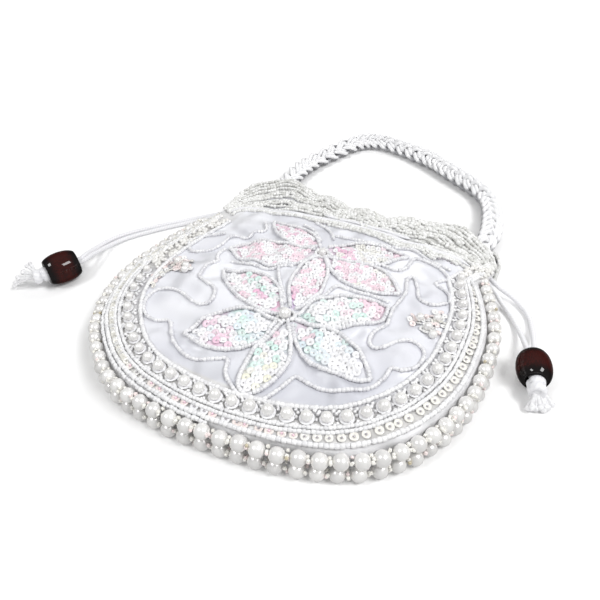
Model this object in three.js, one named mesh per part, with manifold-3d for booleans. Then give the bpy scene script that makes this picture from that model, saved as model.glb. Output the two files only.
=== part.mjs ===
// A beaded wrist bag with a drawstring mouth, lying on its back.
// Millimetres, +Z up. The floor is z = 0. The origin is the middle of the flat
// back, under the widest line of the body. +Y runs from the round bottom to
// the mouth and the handle, +X to the right of the front.
import * as THREE from "three";
import Module from "manifold-3d";

const wasm = await Module();
wasm.setup();

// Named sizes.
const HALF_WIDTH = 85; // from the middle to the centres of the rim pearls
const CLOTH = 1.8; // satin, backing and bead thread together
const GAP = 0.3; // between pieces that touch
const PEARL_R = 3;
const PEARL_PITCH = 7.45;
const THREAD_R = 0.8; // stands for the thread and small beads between pearls
const BACK_ROW_Z = 3.05;
const FRONT_ROW_Z = 9.3;
const WALL_INSET = PEARL_R + GAP; // from the pearl line in to the cloth wall
const SEAM_Z = 6.15; // where the front and back panels meet
const RIM_Z = 11.4; // top edge of the front panel along the pearls
const BAND_Z = 13.6; // where the beaded border meets the satin field
const DOME_Z = 18.6; // top of the front panel
const MIDDLE = new THREE.Vector2(2, 8); // plan point that the panels fan from
const RUFFLES = 7; // waves along the mouth
const RUFFLE_HEIGHT = 1.3;
const CORD_R = 1.15;
const CORD_SIDES = 8;
const BORE_R = 3.2; // of the toggle beads, two cords wide
const BRAID_HALF_WIDTH = 6.3;
const BRAID_HALF_HEIGHT = 4.7;
const BRAID_PITCH = 21; // length of one crossing of the three bundles

// Line of the rim pearls' centres, from the left end round the bottom to the
// right end. x and y are shares of HALF_WIDTH.
const RIM = [
  { x: -0.818, y: 0.647 }, // left end, under the drawstring's corner
  { x: -0.869, y: 0.518 },
  { x: -0.922, y: 0.371 },
  { x: -0.969, y: 0.218 },
  { x: -0.999, y: 0.059 },
  { x: -1.005, y: -0.094 },
  { x: -0.984, y: -0.259 },
  { x: -0.929, y: -0.412 },
  { x: -0.835, y: -0.547 },
  { x: -0.712, y: -0.671 },
  { x: -0.565, y: -0.759 },
  { x: -0.4, y: -0.814 },
  { x: -0.224, y: -0.851 },
  { x: -0.047, y: -0.871 },
  { x: 0.141, y: -0.878 }, // bottom, a little right of the middle
  { x: 0.318, y: -0.869 },
  { x: 0.482, y: -0.838 },
  { x: 0.624, y: -0.772 },
  { x: 0.747, y: -0.668 },
  { x: 0.849, y: -0.525 },
  { x: 0.927, y: -0.359 },
  { x: 0.972, y: -0.182 },
  { x: 0.999, y: 0 },
  { x: 0.994, y: 0.153 },
  { x: 0.967, y: 0.306 },
  { x: 0.929, y: 0.447 }, // right end
];

// Free edge of the front panel from the left side over the mouth to the right
// side. x and y are shares of HALF_WIDTH, z is a share of DOME_Z.
const MOUTH_EDGE = [
  { x: -0.75, y: 0.756, z: 0.527 }, // left corner, where the cords come out
  { x: -0.737, y: 0.815, z: 0.548 },
  { x: -0.729, y: 0.887, z: 0.575 },
  { x: -0.713, y: 0.96, z: 0.61 },
  { x: -0.683, y: 1.03, z: 0.656 },
  { x: -0.635, y: 1.1, z: 0.71 },
  { x: -0.562, y: 1.154, z: 0.753 },
  { x: -0.47, y: 1.172, z: 0.766 }, // peak over the handle's left end
  { x: -0.328, y: 1.138, z: 0.768 },
  { x: -0.22, y: 1.082, z: 0.776 },
  { x: -0.11, y: 1.019, z: 0.785 },
  { x: -0.02, y: 0.972, z: 0.796 },
  { x: 0.075, y: 0.936, z: 0.806 },
  { x: 0.194, y: 0.905, z: 0.806 },
  { x: 0.326, y: 0.88, z: 0.806 },
  { x: 0.449, y: 0.882, z: 0.806 },
  { x: 0.545, y: 0.904, z: 0.806 },
  { x: 0.624, y: 0.912, z: 0.806 },
  { x: 0.686, y: 0.9, z: 0.796 },
  { x: 0.747, y: 0.878, z: 0.78 },
  { x: 0.808, y: 0.845, z: 0.763 },
  { x: 0.87, y: 0.798, z: 0.72 },
  { x: 0.927, y: 0.736, z: 0.656 }, // beside the handle's right end
  { x: 0.96, y: 0.65, z: 0.59 },
  { x: 0.972, y: 0.56, z: 0.548 }, // right corner
];

// Line of the drawstring's casing, the same shares.
const CASING = [
  { x: -0.75, y: 0.74, z: 0.527 },
  { x: -0.66, y: 0.77, z: 0.581 },
  { x: -0.562, y: 0.776, z: 0.634 },
  { x: -0.427, y: 0.779, z: 0.677 },
  { x: -0.291, y: 0.777, z: 0.715 },
  { x: -0.154, y: 0.766, z: 0.753 },
  { x: -0.019, y: 0.747, z: 0.78 },
  { x: 0.112, y: 0.723, z: 0.796 },
  { x: 0.242, y: 0.695, z: 0.806 },
  { x: 0.368, y: 0.666, z: 0.806 },
  { x: 0.489, y: 0.636, z: 0.806 },
  { x: 0.608, y: 0.601, z: 0.796 },
  { x: 0.726, y: 0.558, z: 0.763 },
  { x: 0.811, y: 0.529, z: 0.71 },
  { x: 0.895, y: 0.506, z: 0.634 },
  { x: 0.945, y: 0.49, z: 0.581 },
];

// Small helpers.
const lerp = THREE.MathUtils.lerp;
const smooth = (x, a, b) => THREE.MathUtils.smoothstep(x, a, b);
const turns = (p) => {
  const a = Math.atan2(p.y - MIDDLE.y, p.x - MIDDLE.x) / (2 * Math.PI);
  return a - Math.floor(a); // 0 to 1 round the middle, from +X towards +Y
};

// A named mesh of its own material.
function piece(name, geometry, color, roughness) {
  geometry.computeVertexNormals();
  const mesh = new THREE.Mesh(
    geometry,
    new THREE.MeshStandardMaterial({ name, color, roughness }),
  );
  mesh.name = name;
  return mesh;
}

// One closed body through rings of points, each ring as long as the next, with
// the first and last rings closed by fans to the given tips or their means.
function skin(rings, firstTip, lastTip) {
  const n = rings[0].length;
  const mean = (ring) =>
    ring.reduce((s, p) => s.add(p), new THREE.Vector3()).divideScalar(n);
  const points = [
    firstTip ?? mean(rings[0]),
    ...rings.flat(),
    lastTip ?? mean(rings.at(-1)),
  ];
  const index = [];
  for (let k = 0; k < n; k++) {
    const next = (k + 1) % n;
    index.push(0, 1 + next, 1 + k);
    for (let r = 0; r + 1 < rings.length; r++) {
      const a = 1 + r * n;
      const b = a + n;
      index.push(a + k, a + next, b + next, a + k, b + next, b + k);
    }
    const last = 1 + (rings.length - 1) * n;
    index.push(last + k, last + next, points.length - 1);
  }
  const geometry = new THREE.BufferGeometry().setFromPoints(points);
  geometry.setIndex(index);
  return geometry;
}

// A ring of points round a place on a path, square to the path. The section
// gives the sideways and upward reach at each turn round the ring.
function ringAt(place, along, sides, section) {
  const side = new THREE.Vector3(-along.y, along.x, 0).normalize();
  const up = new THREE.Vector3().crossVectors(along, side).normalize();
  return Array.from({ length: sides }, (_, k) => {
    const [across, rise] = section((2 * Math.PI * (k + 0.5)) / sides);
    return place.clone().addScaledVector(side, across).addScaledVector(up, rise);
  });
}

// A geometry as a manifold-3d solid, and back.
function toSolid(geometry) {
  return new wasm.Manifold(
    new wasm.Mesh({
      numProp: 3,
      vertProperties: new Float32Array(geometry.attributes.position.array),
      triVerts: new Uint32Array(geometry.index.array),
    }),
  );
}

function fromSolid(solid) {
  const made = solid.getMesh();
  return new THREE.BufferGeometry()
    .setAttribute(
      "position",
      new THREE.Float32BufferAttribute(made.vertProperties, made.numProp),
    )
    .setIndex(new THREE.Uint32BufferAttribute(made.triVerts, 1));
}

// Outline.
// A table of shares as a smooth open curve in millimetres.
function curveOf(table) {
  return new THREE.CatmullRomCurve3(
    table.map(
      ({ x, y, z = 0 }) =>
        new THREE.Vector3(x * HALF_WIDTH, y * HALF_WIDTH, z * DOME_Z),
    ),
    false,
    "centripetal",
  );
}

// The cloth's outline, closed: the pearl line set in by the wall's inset, then
// the free edge of the mouth from right to left.
function clothOutline(line) {
  const inset = [];
  const count = 90;
  for (let i = 0; i <= count; i++) {
    const t = i / count;
    const p = line.getPointAt(t);
    const along = line.getTangentAt(t);
    inset.push(
      new THREE.Vector3(
        p.x - along.y * WALL_INSET,
        p.y + along.x * WALL_INSET,
        0,
      ),
    );
  }
  return [...inset, ...curveOf(MOUTH_EDGE).getPoints(240).reverse()];
}

// Looks up a value round the middle: samples are [turn, value], sorted here,
// and joined by straight runs. Outside their span the nearest value holds.
function lookup(samples) {
  const sorted = [...samples].sort((a, b) => a[0] - b[0]);
  return (turn) => {
    const after = sorted.findIndex(([t]) => t >= turn);
    if (after <= 0) return sorted[after ? sorted.length - 1 : 0][1];
    const [t0, v0] = sorted[after - 1];
    const [t1, v1] = sorted[after];
    return lerp(v0, v1, (turn - t0) / Math.max(t1 - t0, 1e-9));
  };
}

const line = curveOf(RIM);
const away = (p) => Math.hypot(p.x - MIDDLE.x, p.y - MIDDLE.y);
const edgeRadius = lookup(clothOutline(line).map((p) => [turns(p), away(p)]));
const dense = (table) => curveOf(table).getPoints(240);
const edgeHeight = lookup(dense(MOUTH_EDGE).map((p) => [turns(p), p.z]));
const casingRadius = lookup(dense(CASING).map((p) => [turns(p), away(p)]));
const casingHeight = lookup(dense(CASING).map((p) => [turns(p), p.z]));
const MOUTH_FROM = turns(dense(MOUTH_EDGE).at(-1));
const MOUTH_TO = turns(dense(MOUTH_EDGE)[0]);
// The side seam ends between these two turns past each corner of the mouth.
const SLIT_NEAR = 0.006;
const SLIT_FAR = 0.014;
const EASE = 0.05; // turns over which the dome changes from rim to mouth

// 1 along the pearls, 0 along the mouth.
function rimness(turn) {
  const past = Math.max(MOUTH_FROM - turn, turn - MOUTH_TO);
  return smooth(past, SLIT_NEAR, SLIT_FAR);
}

// The same change drawn out along the cloth, so that the dome has no crease.
function easedRim(turn) {
  const past = Math.max(MOUTH_FROM - turn, turn - MOUTH_TO);
  return smooth(past, -EASE, EASE);
}

// The share of the way out at which the border or the casing lies.
function bandShare(turn) {
  const shut = easedRim(turn);
  return lerp(
    Math.min(casingRadius(turn) / edgeRadius(turn), 0.93),
    0.87,
    shut,
  );
}

// Height of the front panel's outer side, at a share of the way out.
function frontHeight(turn, share) {
  const shut = easedRim(turn);
  const band = bandShare(turn);
  const bandZ = lerp(casingHeight(turn), BAND_Z, shut);
  const edgeZ = lerp(edgeHeight(turn), RIM_Z, shut);
  if (share <= band) {
    const q = share / band;
    return bandZ + (DOME_Z - bandZ) * Math.pow(1 - q * q, 0.85);
  }
  const out = (share - band) / (1 - band);
  const wave = Math.sin(RUFFLES * 2 * Math.PI * mouthShare(turn));
  const puff = 1.1 * Math.sin(Math.PI * out); // the frill swells past the casing
  return (
    lerp(bandZ, edgeZ, out * out * shut + out * (1 - shut)) +
    (1 - shut) * corner(turn) * (puff + RUFFLE_HEIGHT * wave * out)
  );
}

// The frill lies flat towards both corners of the mouth.
function corner(turn) {
  const m = mouthShare(turn);
  return smooth(m, -0.02, 0.24) * (1 - smooth(m, 0.72, 0.96));
}

// Height of the back panel's underside: flat on the floor, with the frill's
// waves lifted off it.
function backHeight(turn, share) {
  const band = bandShare(turn);
  const out = Math.max(0, (share - band) / (1 - band));
  const wave = 1 + Math.sin(RUFFLES * 2 * Math.PI * mouthShare(turn) + 2);
  return (1 - rimness(turn)) * 0.3 * wave * out;
}

function mouthShare(turn) {
  return (turn - MOUTH_FROM) / (MOUTH_TO - MOUTH_FROM);
}

// The back panel's outline is the front's, except that its frill shows past
// the front's at the right corner.
function backRadius(turn) {
  const m = mouthShare(turn);
  const bulge = Math.exp(-Math.pow((m - 0.13) / 0.08, 2));
  return edgeRadius(turn) + 12 * bulge * (1 - rimness(turn));
}

// Panels.
// Stations round the panels: closer along the mouth, where the ruffles are.
function stations() {
  const spaced = (from, to, count) =>
    Array.from({ length: count }, (_, i) => lerp(from, to, i / (count - 1)));
  return [
    ...spaced(MOUTH_FROM - SLIT_NEAR, MOUTH_TO + SLIT_NEAR, 29),
    ...spaced(MOUTH_TO + SLIT_FAR, MOUTH_FROM - SLIT_FAR + 1, 26),
  ].map((turn) => turn - Math.floor(turn));
}

// A ring of the panel: radius and height are functions of the turn.
function panelRing(radius, height) {
  return stations().map((turn) => {
    const r = radius(turn);
    const a = 2 * Math.PI * turn;
    return new THREE.Vector3(
      MIDDLE.x + r * Math.cos(a),
      MIDDLE.y + r * Math.sin(a),
      height(turn, r),
    );
  });
}

// The front panel: a domed sheet with a wall that turns down to the seam along
// the pearls and stays a free, ruffled edge along the mouth.
function frontPanel() {
  const at = (inner, outer, drop = 0) => {
    const share = (turn) => lerp(inner * bandShare(turn), 1, outer);
    return panelRing(
      (turn) => share(turn) * edgeRadius(turn),
      (turn) => frontHeight(turn, share(turn)) - drop,
    );
  };
  const hem = (inset, drop) =>
    panelRing(
      (turn) => edgeRadius(turn) - inset,
      (turn) => {
        const shut = rimness(turn);
        return lerp(frontHeight(turn, 1) - drop, SEAM_Z, shut);
      },
    );
  const under = panelRing(
    (turn) => edgeRadius(turn) - CLOTH - 0.9,
    (turn) => {
      const r = edgeRadius(turn);
      return frontHeight(turn, (r - CLOTH - 0.9) / r) - CLOTH - 0.2;
    },
  );
  const rings = [
    at(0.35, 0),
    at(0.62, 0),
    at(0.84, 0),
    at(1, 0),
    at(1, 0.3),
    at(1, 0.65),
    at(1, 1),
    hem(0, 0.9),
    hem(CLOTH, CLOTH + 0.1),
    under,
    at(1, 0.3, CLOTH),
    at(1, 0, CLOTH),
    at(0.84, 0, CLOTH),
    at(0.62, 0, CLOTH),
    at(0.35, 0, CLOTH),
  ];
  const tip = (z) => new THREE.Vector3(MIDDLE.x, MIDDLE.y, z);
  return flipped(skin(rings, tip(DOME_Z), tip(DOME_Z - CLOTH)));
}

// The back panel: flat on the floor, with a wall up to the seam and a frill.
function backPanel() {
  const at = (inner, outer, lift = 0) => {
    const share = (turn) => lerp(inner * bandShare(turn), 1, outer);
    return panelRing(
      (turn) => share(turn) * backRadius(turn),
      (turn) => backHeight(turn, share(turn)) + lift,
    );
  };
  const hem = (inset, lift) =>
    panelRing(
      (turn) => backRadius(turn) - inset,
      (turn) =>
        lerp(backHeight(turn, 1) + lift, SEAM_Z - GAP, rimness(turn)),
    );
  const foot = panelRing(
    (turn) => backRadius(turn) - CLOTH,
    (turn) => backHeight(turn, 1) + lerp(CLOTH, CLOTH + 0.2, rimness(turn)),
  );
  const rings = [
    at(0.5, 0),
    at(1, 0),
    at(1, 0.5),
    at(1, 1),
    hem(0, 0.9),
    hem(CLOTH * 0.9, CLOTH - 0.2),
    foot,
    at(1, 0.5, CLOTH),
    at(1, 0, CLOTH),
    at(0.5, 0, CLOTH),
  ];
  const tip = (z) => new THREE.Vector3(MIDDLE.x, MIDDLE.y, z);
  return skin(rings, tip(0), tip(CLOTH));
}

// The same surface with its faces turned round.
function flipped(geometry) {
  const index = geometry.index.array;
  for (let i = 0; i < index.length; i += 3)
    [index[i + 1], index[i + 2]] = [index[i + 2], index[i + 1]];
  return geometry;
}

// Rim pearls.
// A threaded row along the pearl line: each pearl is two wide rings with thin
// necks between it and its neighbours.
function pearlRow(z) {
  const length = line.getLength();
  const count = Math.floor(length / PEARL_PITCH);
  const rings = [];
  const ringOn = (s, radius) => {
    const t = THREE.MathUtils.clamp(s / length, 0, 1);
    const place = line.getPointAt(t).setZ(z);
    rings.push(
      ringAt(place, line.getTangentAt(t), 10, (a) => [
        radius * Math.cos(a),
        radius * Math.sin(a),
      ]),
    );
  };
  const start = (length - count * PEARL_PITCH) / 2;
  ringOn(start, THREAD_R);
  for (let i = 0; i < count; i++) {
    const s = start + (i + 0.5) * PEARL_PITCH;
    ringOn(s - 0.5 * PEARL_R, 0.95 * PEARL_R);
    ringOn(s + 0.5 * PEARL_R, 0.95 * PEARL_R);
    ringOn(s + 0.5 * PEARL_PITCH, THREAD_R);
  }
  return skin(rings);
}

// Handle.
// Middle line of the braid, from inside the mouth at the left to inside it at
// the right. It lies on the floor past the frill.
const HANDLE = [
  [-33.5, 88, 7],
  [-37.8, 96, 7],
  [-40.8, 104, 7],
  [-42.3, 112, 6.2],
  [-42.5, 120.2, 4.9],
  [-41.4, 129, 4.8],
  [-37.6, 142.5, 4.8],
  [-30.9, 158.3, 4.8],
  [-24.2, 171.2, 4.8],
  [-17.2, 181.3, 4.8],
  [-9, 187.2, 4.8],
  [0, 188.2, 4.8],
  [9, 185.9, 4.8],
  [18.7, 181.6, 4.8],
  [29, 175.4, 4.8],
  [39.4, 167.4, 4.8],
  [49.2, 158.4, 4.8],
  [58.7, 148.6, 4.8],
  [67.4, 139.2, 4.8],
  [74, 130, 4.8],
  [77.9, 118.7, 4.8],
  [79.2, 106.5, 4.9],
  [79.1, 94.5, 5.9],
  [78, 82, 7.1],
  [75.5, 73, 6.8],
  [71, 65.5, 6.6],
];

function handle() {
  const path = new THREE.CatmullRomCurve3(
    HANDLE.map((p) => new THREE.Vector3(...p)),
    false,
    "centripetal",
  );
  const length = path.getLength();
  const steps = 46;
  const rings = Array.from({ length: steps + 1 }, (_, i) => {
    const t = i / steps;
    const turn = (2 * Math.PI * t * length) / BRAID_PITCH;
    const thin = 1 - 0.16 * (1 - smooth(Math.min(t, 1 - t), 0.02, 0.09));
    return ringAt(path.getPointAt(t), path.getTangentAt(t), 10, (a) => {
      const lobe = 0.07 * Math.cos(2 * turn + (Math.cos(a) > 0 ? 0 : Math.PI));
      return [
        BRAID_HALF_WIDTH * thin * (1 + lobe) * Math.cos(a),
        BRAID_HALF_HEIGHT * thin * Math.sin(a),
      ];
    });
  });
  return skin(rings);
}

// Drawstring ends.
// Each side has two cords through a drilled bead, tied off in one knot.
const TOGGLES = {
  left: {
    middle: [-120.5, -3.5, 7.8],
    heading: -124, // degrees in plan, from the cords to the knot
    radius: 7.8,
    length: 15.2,
    knot: [-126.3, -12.1, 7.6],
    tassel: { heading: 176, reach: 15, fan: 24 },
  },
  right: {
    middle: [101, -5.9, 6.8],
    heading: -84,
    radius: 6.8,
    length: 13.4,
    knot: [102, -15.6, 6.8],
    tassel: { heading: -62, reach: 8, fan: 38 },
  },
};

// Middle line between each side's two cords, from inside the mouth to the
// drilled bead, and how far apart the two run. The stretch through the bead is
// added from the bead's own place.
const CORD_ROUTES = {
  left: [
    { at: [-52, 62.5, 7.8], apart: 3 },
    { at: [-60, 65.8, 7.5], apart: 2.8 },
    { at: [-68.6, 67, 5.3], apart: 2.8 },
    { at: [-76.7, 66, 2.9], apart: 2.9 },
    { at: [-84.7, 62.4, 1.5], apart: 3 },
    { at: [-93.9, 55.6, 1.3], apart: 3.2 },
    { at: [-102.4, 47.9, 1.3], apart: 3.5 },
    { at: [-108.8, 41.8, 1.3], apart: 3.9 },
    { at: [-113.4, 36, 1.4], apart: 4.2 },
    { at: [-115.9, 30.4, 1.8], apart: 4.3 },
    { at: [-116.6, 24.4, 2.9], apart: 4.2 },
    { at: [-116.2, 17.8, 4.7], apart: 3.8 },
    { at: [-115.3, 11.4, 6.6], apart: 3.1 },
  ],
  right: [
    { at: [71.5, 48.6, 8.2], apart: 3 },
    { at: [79, 46.9, 7.5], apart: 2.9 },
    { at: [85, 43.2, 4.9], apart: 4.2 },
    { at: [91, 38.9, 2.2], apart: 7.4 },
    { at: [95.6, 32.2, 1.5], apart: 7.6 },
    { at: [98, 24.6, 1.7], apart: 6.4 },
    { at: [99.2, 16.2, 3.1], apart: 4.8 },
    { at: [99.7, 8.2, 5.3], apart: 3.3 },
  ],
};

function headingOf({ heading }) {
  const a = THREE.MathUtils.degToRad(heading);
  return new THREE.Vector3(Math.cos(a), Math.sin(a), 0);
}

// A barrel turned from wood, drilled along its axis.
function toggleBead(toggle) {
  const { radius, length, middle } = toggle;
  const half = length / 2;
  const profile = [[BORE_R, -half + 0.5], [BORE_R + 0.6, -half]];
  for (let i = 0; i <= 8; i++) {
    const a = THREE.MathUtils.degToRad(-62 + (124 * i) / 8);
    profile.push([
      radius * (0.42 + 0.58 * Math.pow(Math.cos(a), 0.8)),
      (half * Math.sin(a)) / Math.sin(THREE.MathUtils.degToRad(62)),
    ]);
  }
  profile.push([BORE_R + 0.6, half], [BORE_R, half - 0.5]);
  profile.push(profile[0]);
  const geometry = new THREE.LatheGeometry(
    profile.map(([r, y]) => new THREE.Vector2(r, y)),
    12,
  );
  const turn = new THREE.Quaternion().setFromUnitVectors(
    new THREE.Vector3(0, 1, 0),
    headingOf(toggle),
  );
  return geometry.applyQuaternion(turn).translate(...middle);
}

// One of a side's two cords: its own side of the route, then straight through
// the bead to just before the knot. The hand is 1 to the left of the way to
// the bead and -1 to the right of it.
function cord(route, toggle, hand) {
  const axis = headingOf(toggle);
  const middle = new THREE.Vector3(...toggle.middle);
  const places = route.map(({ at, apart }) => ({ at: new THREE.Vector3(...at), apart }));
  for (const share of [-0.66, -0.4, 0, 0.4])
    places.push({
      at: middle.clone().addScaledVector(axis, share * toggle.length),
      apart: 2 * CORD_R + GAP + 0.1,
    });
  const points = places.map(({ at, apart }, i) => {
    const before = places[Math.max(i - 1, 0)].at;
    const after = places[Math.min(i + 1, places.length - 1)].at;
    const way = after.clone().sub(before).setZ(0).normalize();
    const left = new THREE.Vector3(-way.y, way.x, 0);
    return at.clone().addScaledVector(left, (hand * apart) / 2);
  });
  const path = new THREE.CatmullRomCurve3(points, false, "centripetal");
  const steps = Math.round(path.getLength() / (5 * CORD_R));
  const rings = Array.from({ length: steps + 1 }, (_, i) => {
    const t = i / steps;
    return ringAt(path.getPointAt(t), path.getTangentAt(t), CORD_SIDES, (a) => [
      CORD_R * Math.cos(a),
      CORD_R * Math.sin(a),
    ]);
  });
  return skin(rings);
}

// The knot: a wrapped lump with the frayed ends of both cords drooping from it.
function knot({ knot: [x, y, z], tassel }) {
  const strands = 5;
  let whole = wasm.Manifold.sphere(1, 12).scale([3.6, 3.6, 3.9]).translate([x, y, z]);
  for (let i = 0; i < strands; i++) {
    const turn = tassel.heading + lerp(-1, 1, i / (strands - 1)) * tassel.fan;
    const a = THREE.MathUtils.degToRad(turn);
    const at = (reach, up) =>
      new THREE.Vector3(x + Math.cos(a) * reach, y + Math.sin(a) * reach, up);
    const path = new THREE.QuadraticBezierCurve3(
      at(1.5, z),
      at(0.6 * tassel.reach, 0.75 * z),
      at(tassel.reach, 1.6 + (i % 2)),
    );
    const rings = [0, 0.5, 1].map((t) =>
      ringAt(path.getPoint(t), path.getTangent(t), 6, (b) => [
        1.2 * Math.cos(b),
        1.2 * Math.sin(b),
      ]),
    );
    whole = whole.add(toSolid(skin(rings)));
  }
  return fromSolid(whole);
}

// The bag.
const bag = new THREE.Group();
bag.name = "reticule";
bag.add(
  piece("front_panel", frontPanel(), "#eceef2", 0.5),
  piece("back_panel", backPanel(), "#e8e8ee", 0.55),
  piece("rim_pearls_front", pearlRow(FRONT_ROW_Z), "#f3eee6", 0.2),
  piece("rim_pearls_back", pearlRow(BACK_ROW_Z), "#efeae4", 0.2),
  piece("handle", handle(), "#efefef", 0.5),
  piece("left_toggle_bead", toggleBead(TOGGLES.left), "#2c0d0a", 0.15),
  piece("right_toggle_bead", toggleBead(TOGGLES.right), "#2c0d0a", 0.15),
  piece("left_knot", knot(TOGGLES.left), "#f2f2f2", 0.7),
  piece("right_knot", knot(TOGGLES.right), "#f2f2f2", 0.7),
);
for (const side of ["left", "right"])
  for (const [place, hand] of Object.entries({ inner: -1, outer: 1 })) {
    // On the left the outer cord is on the right of the way to the bead.
    const turned = side === "left" ? -hand : hand;
    bag.add(
      piece(
        `${side}_cord_${place}`,
        cord(CORD_ROUTES[side], TOGGLES[side], turned),
        "#f4f4f6",
        0.45,
      ),
    );
  }

export default bag;
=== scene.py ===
"""Looks of a white beaded drawstring wrist bag that lies on its back.

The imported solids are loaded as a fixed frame. Every visible piece is a surface worked
out with numpy in millimetres, in the same frame as the solids, and put into a mesh in
metres. The floor is z = 0, +Y runs to the mouth and the handle, +X to the right.
"""

from __future__ import annotations

import logging
from dataclasses import dataclass, field
from enum import Enum
from typing import Any, Callable, Sequence

import bpy
import numpy as np
from mathutils import Matrix, Vector

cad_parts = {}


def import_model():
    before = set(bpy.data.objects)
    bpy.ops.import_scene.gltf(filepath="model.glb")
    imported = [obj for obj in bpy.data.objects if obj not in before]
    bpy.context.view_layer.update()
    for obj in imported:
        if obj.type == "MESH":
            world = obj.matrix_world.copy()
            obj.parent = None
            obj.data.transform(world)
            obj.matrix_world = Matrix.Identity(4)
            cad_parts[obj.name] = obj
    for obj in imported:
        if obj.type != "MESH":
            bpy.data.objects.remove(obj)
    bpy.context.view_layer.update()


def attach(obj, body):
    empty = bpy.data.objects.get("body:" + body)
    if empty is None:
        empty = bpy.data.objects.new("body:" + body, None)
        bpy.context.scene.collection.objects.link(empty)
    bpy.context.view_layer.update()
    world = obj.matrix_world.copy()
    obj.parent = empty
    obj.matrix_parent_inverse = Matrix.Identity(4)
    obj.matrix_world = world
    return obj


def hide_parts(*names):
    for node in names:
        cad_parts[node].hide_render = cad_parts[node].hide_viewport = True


LOG = logging.getLogger("wrist_bag")
MM = 0.001
Array = np.ndarray
Material = bpy.types.Material
Object = bpy.types.Object
Pair = tuple[float, float]
Triple = tuple[float, float, float]
UP = np.array([0.0, 0.0, 1.0])


# Numbers and curves


def ease(x: Array, low: float, high: float) -> Array:
    """Goes smoothly from 0 at low to 1 at high, as t * t * (3 - 2 t)."""
    t = np.clip((x - low) / (high - low), 0.0, 1.0)
    return t * t * (3.0 - 2.0 * t)


def between(a: Array, b: Array, t: Array) -> Array:
    """The value a share t of the way from a to b."""
    return a + (b - a) * t


def unit(v: Array) -> Array:
    """Rows of v at length 1."""
    return v / np.maximum(np.linalg.norm(v, axis=-1, keepdims=True), 1e-12)


def smooth_line(points: Sequence[Sequence[float]], per_span: int = 16) -> Array:
    """Points on a centripetal Catmull-Rom curve.

    Each span between two chosen points is a cubic whose slopes come from the square
    roots of the distances to the neighbours, so it has no loops or cusps.

    Args:
        points: Chosen points, each of 2 or 3 numbers.
        per_span: Points made in each span.

    Returns:
        All points of the curve, in order.
    """
    p = np.asarray(points, float)
    ends = np.vstack([2 * p[0] - p[1], p, 2 * p[-1] - p[-2]])
    a, b, c, d = ends[:-3], ends[1:-2], ends[2:-1], ends[3:]

    def step(u: Array, v: Array) -> Array:
        """Square root of the distance between rows."""
        return np.maximum(np.sqrt(np.linalg.norm(v - u, axis=1, keepdims=True)), 1e-4)

    s0, s1, s2 = step(a, b), step(b, c), step(c, d)
    m0 = ((b - a) / s0 - (c - a) / (s0 + s1) + (c - b) / s1) * s1
    m1 = ((c - b) / s1 - (d - b) / (s1 + s2) + (d - c) / s2) * s1
    w = np.linspace(0.0, 1.0, per_span, endpoint=False)[None, :, None]
    b, c, m0, m1 = (v[:, None, :] for v in (b, c, m0, m1))
    cubic = b + m0 * w + (3 * (c - b) - 2 * m0 - m1) * w**2
    cubic = cubic + (2 * (b - c) + m0 + m1) * w**3
    return np.vstack([cubic.reshape(-1, p.shape[1]), p[-1:]])


class Path:
    """A line of points that can be asked for places at a distance along it."""

    def __init__(self, points: Array) -> None:
        """Keeps the points and the distance run at each.

        Args:
            points: Points in order, in two or three dimensions.
        """
        self.points = np.asarray(points, float)
        steps = np.linalg.norm(np.diff(self.points, axis=0), axis=1)
        self.run = np.r_[0.0, np.cumsum(steps)]
        self.length = float(self.run[-1])

    def at(self, run: Array) -> Array:
        """Places at the given distances from the start."""
        return np.stack([np.interp(run, self.run, c) for c in self.points.T], -1)

    def along(self, run: Array, reach: float = 0.6) -> Array:
        """Unit directions at the given distances.

        Args:
            run: Distances from the start.
            reach: How far before and after each the line is looked at.

        Returns:
            The directions.
        """
        run = np.asarray(run, float)
        ahead = np.clip(run + reach, 0, self.length)
        return unit(self.at(ahead) - self.at(np.clip(run - reach, 0, self.length)))

    def even(self, pitch: float) -> Array:
        """Distances of things set at about that pitch, half a pitch clear of both ends."""
        count = max(1, int(round(self.length / pitch - 1)) + 1)
        return (0.5 + np.arange(count)) * (self.length / count)


# Surfaces


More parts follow.
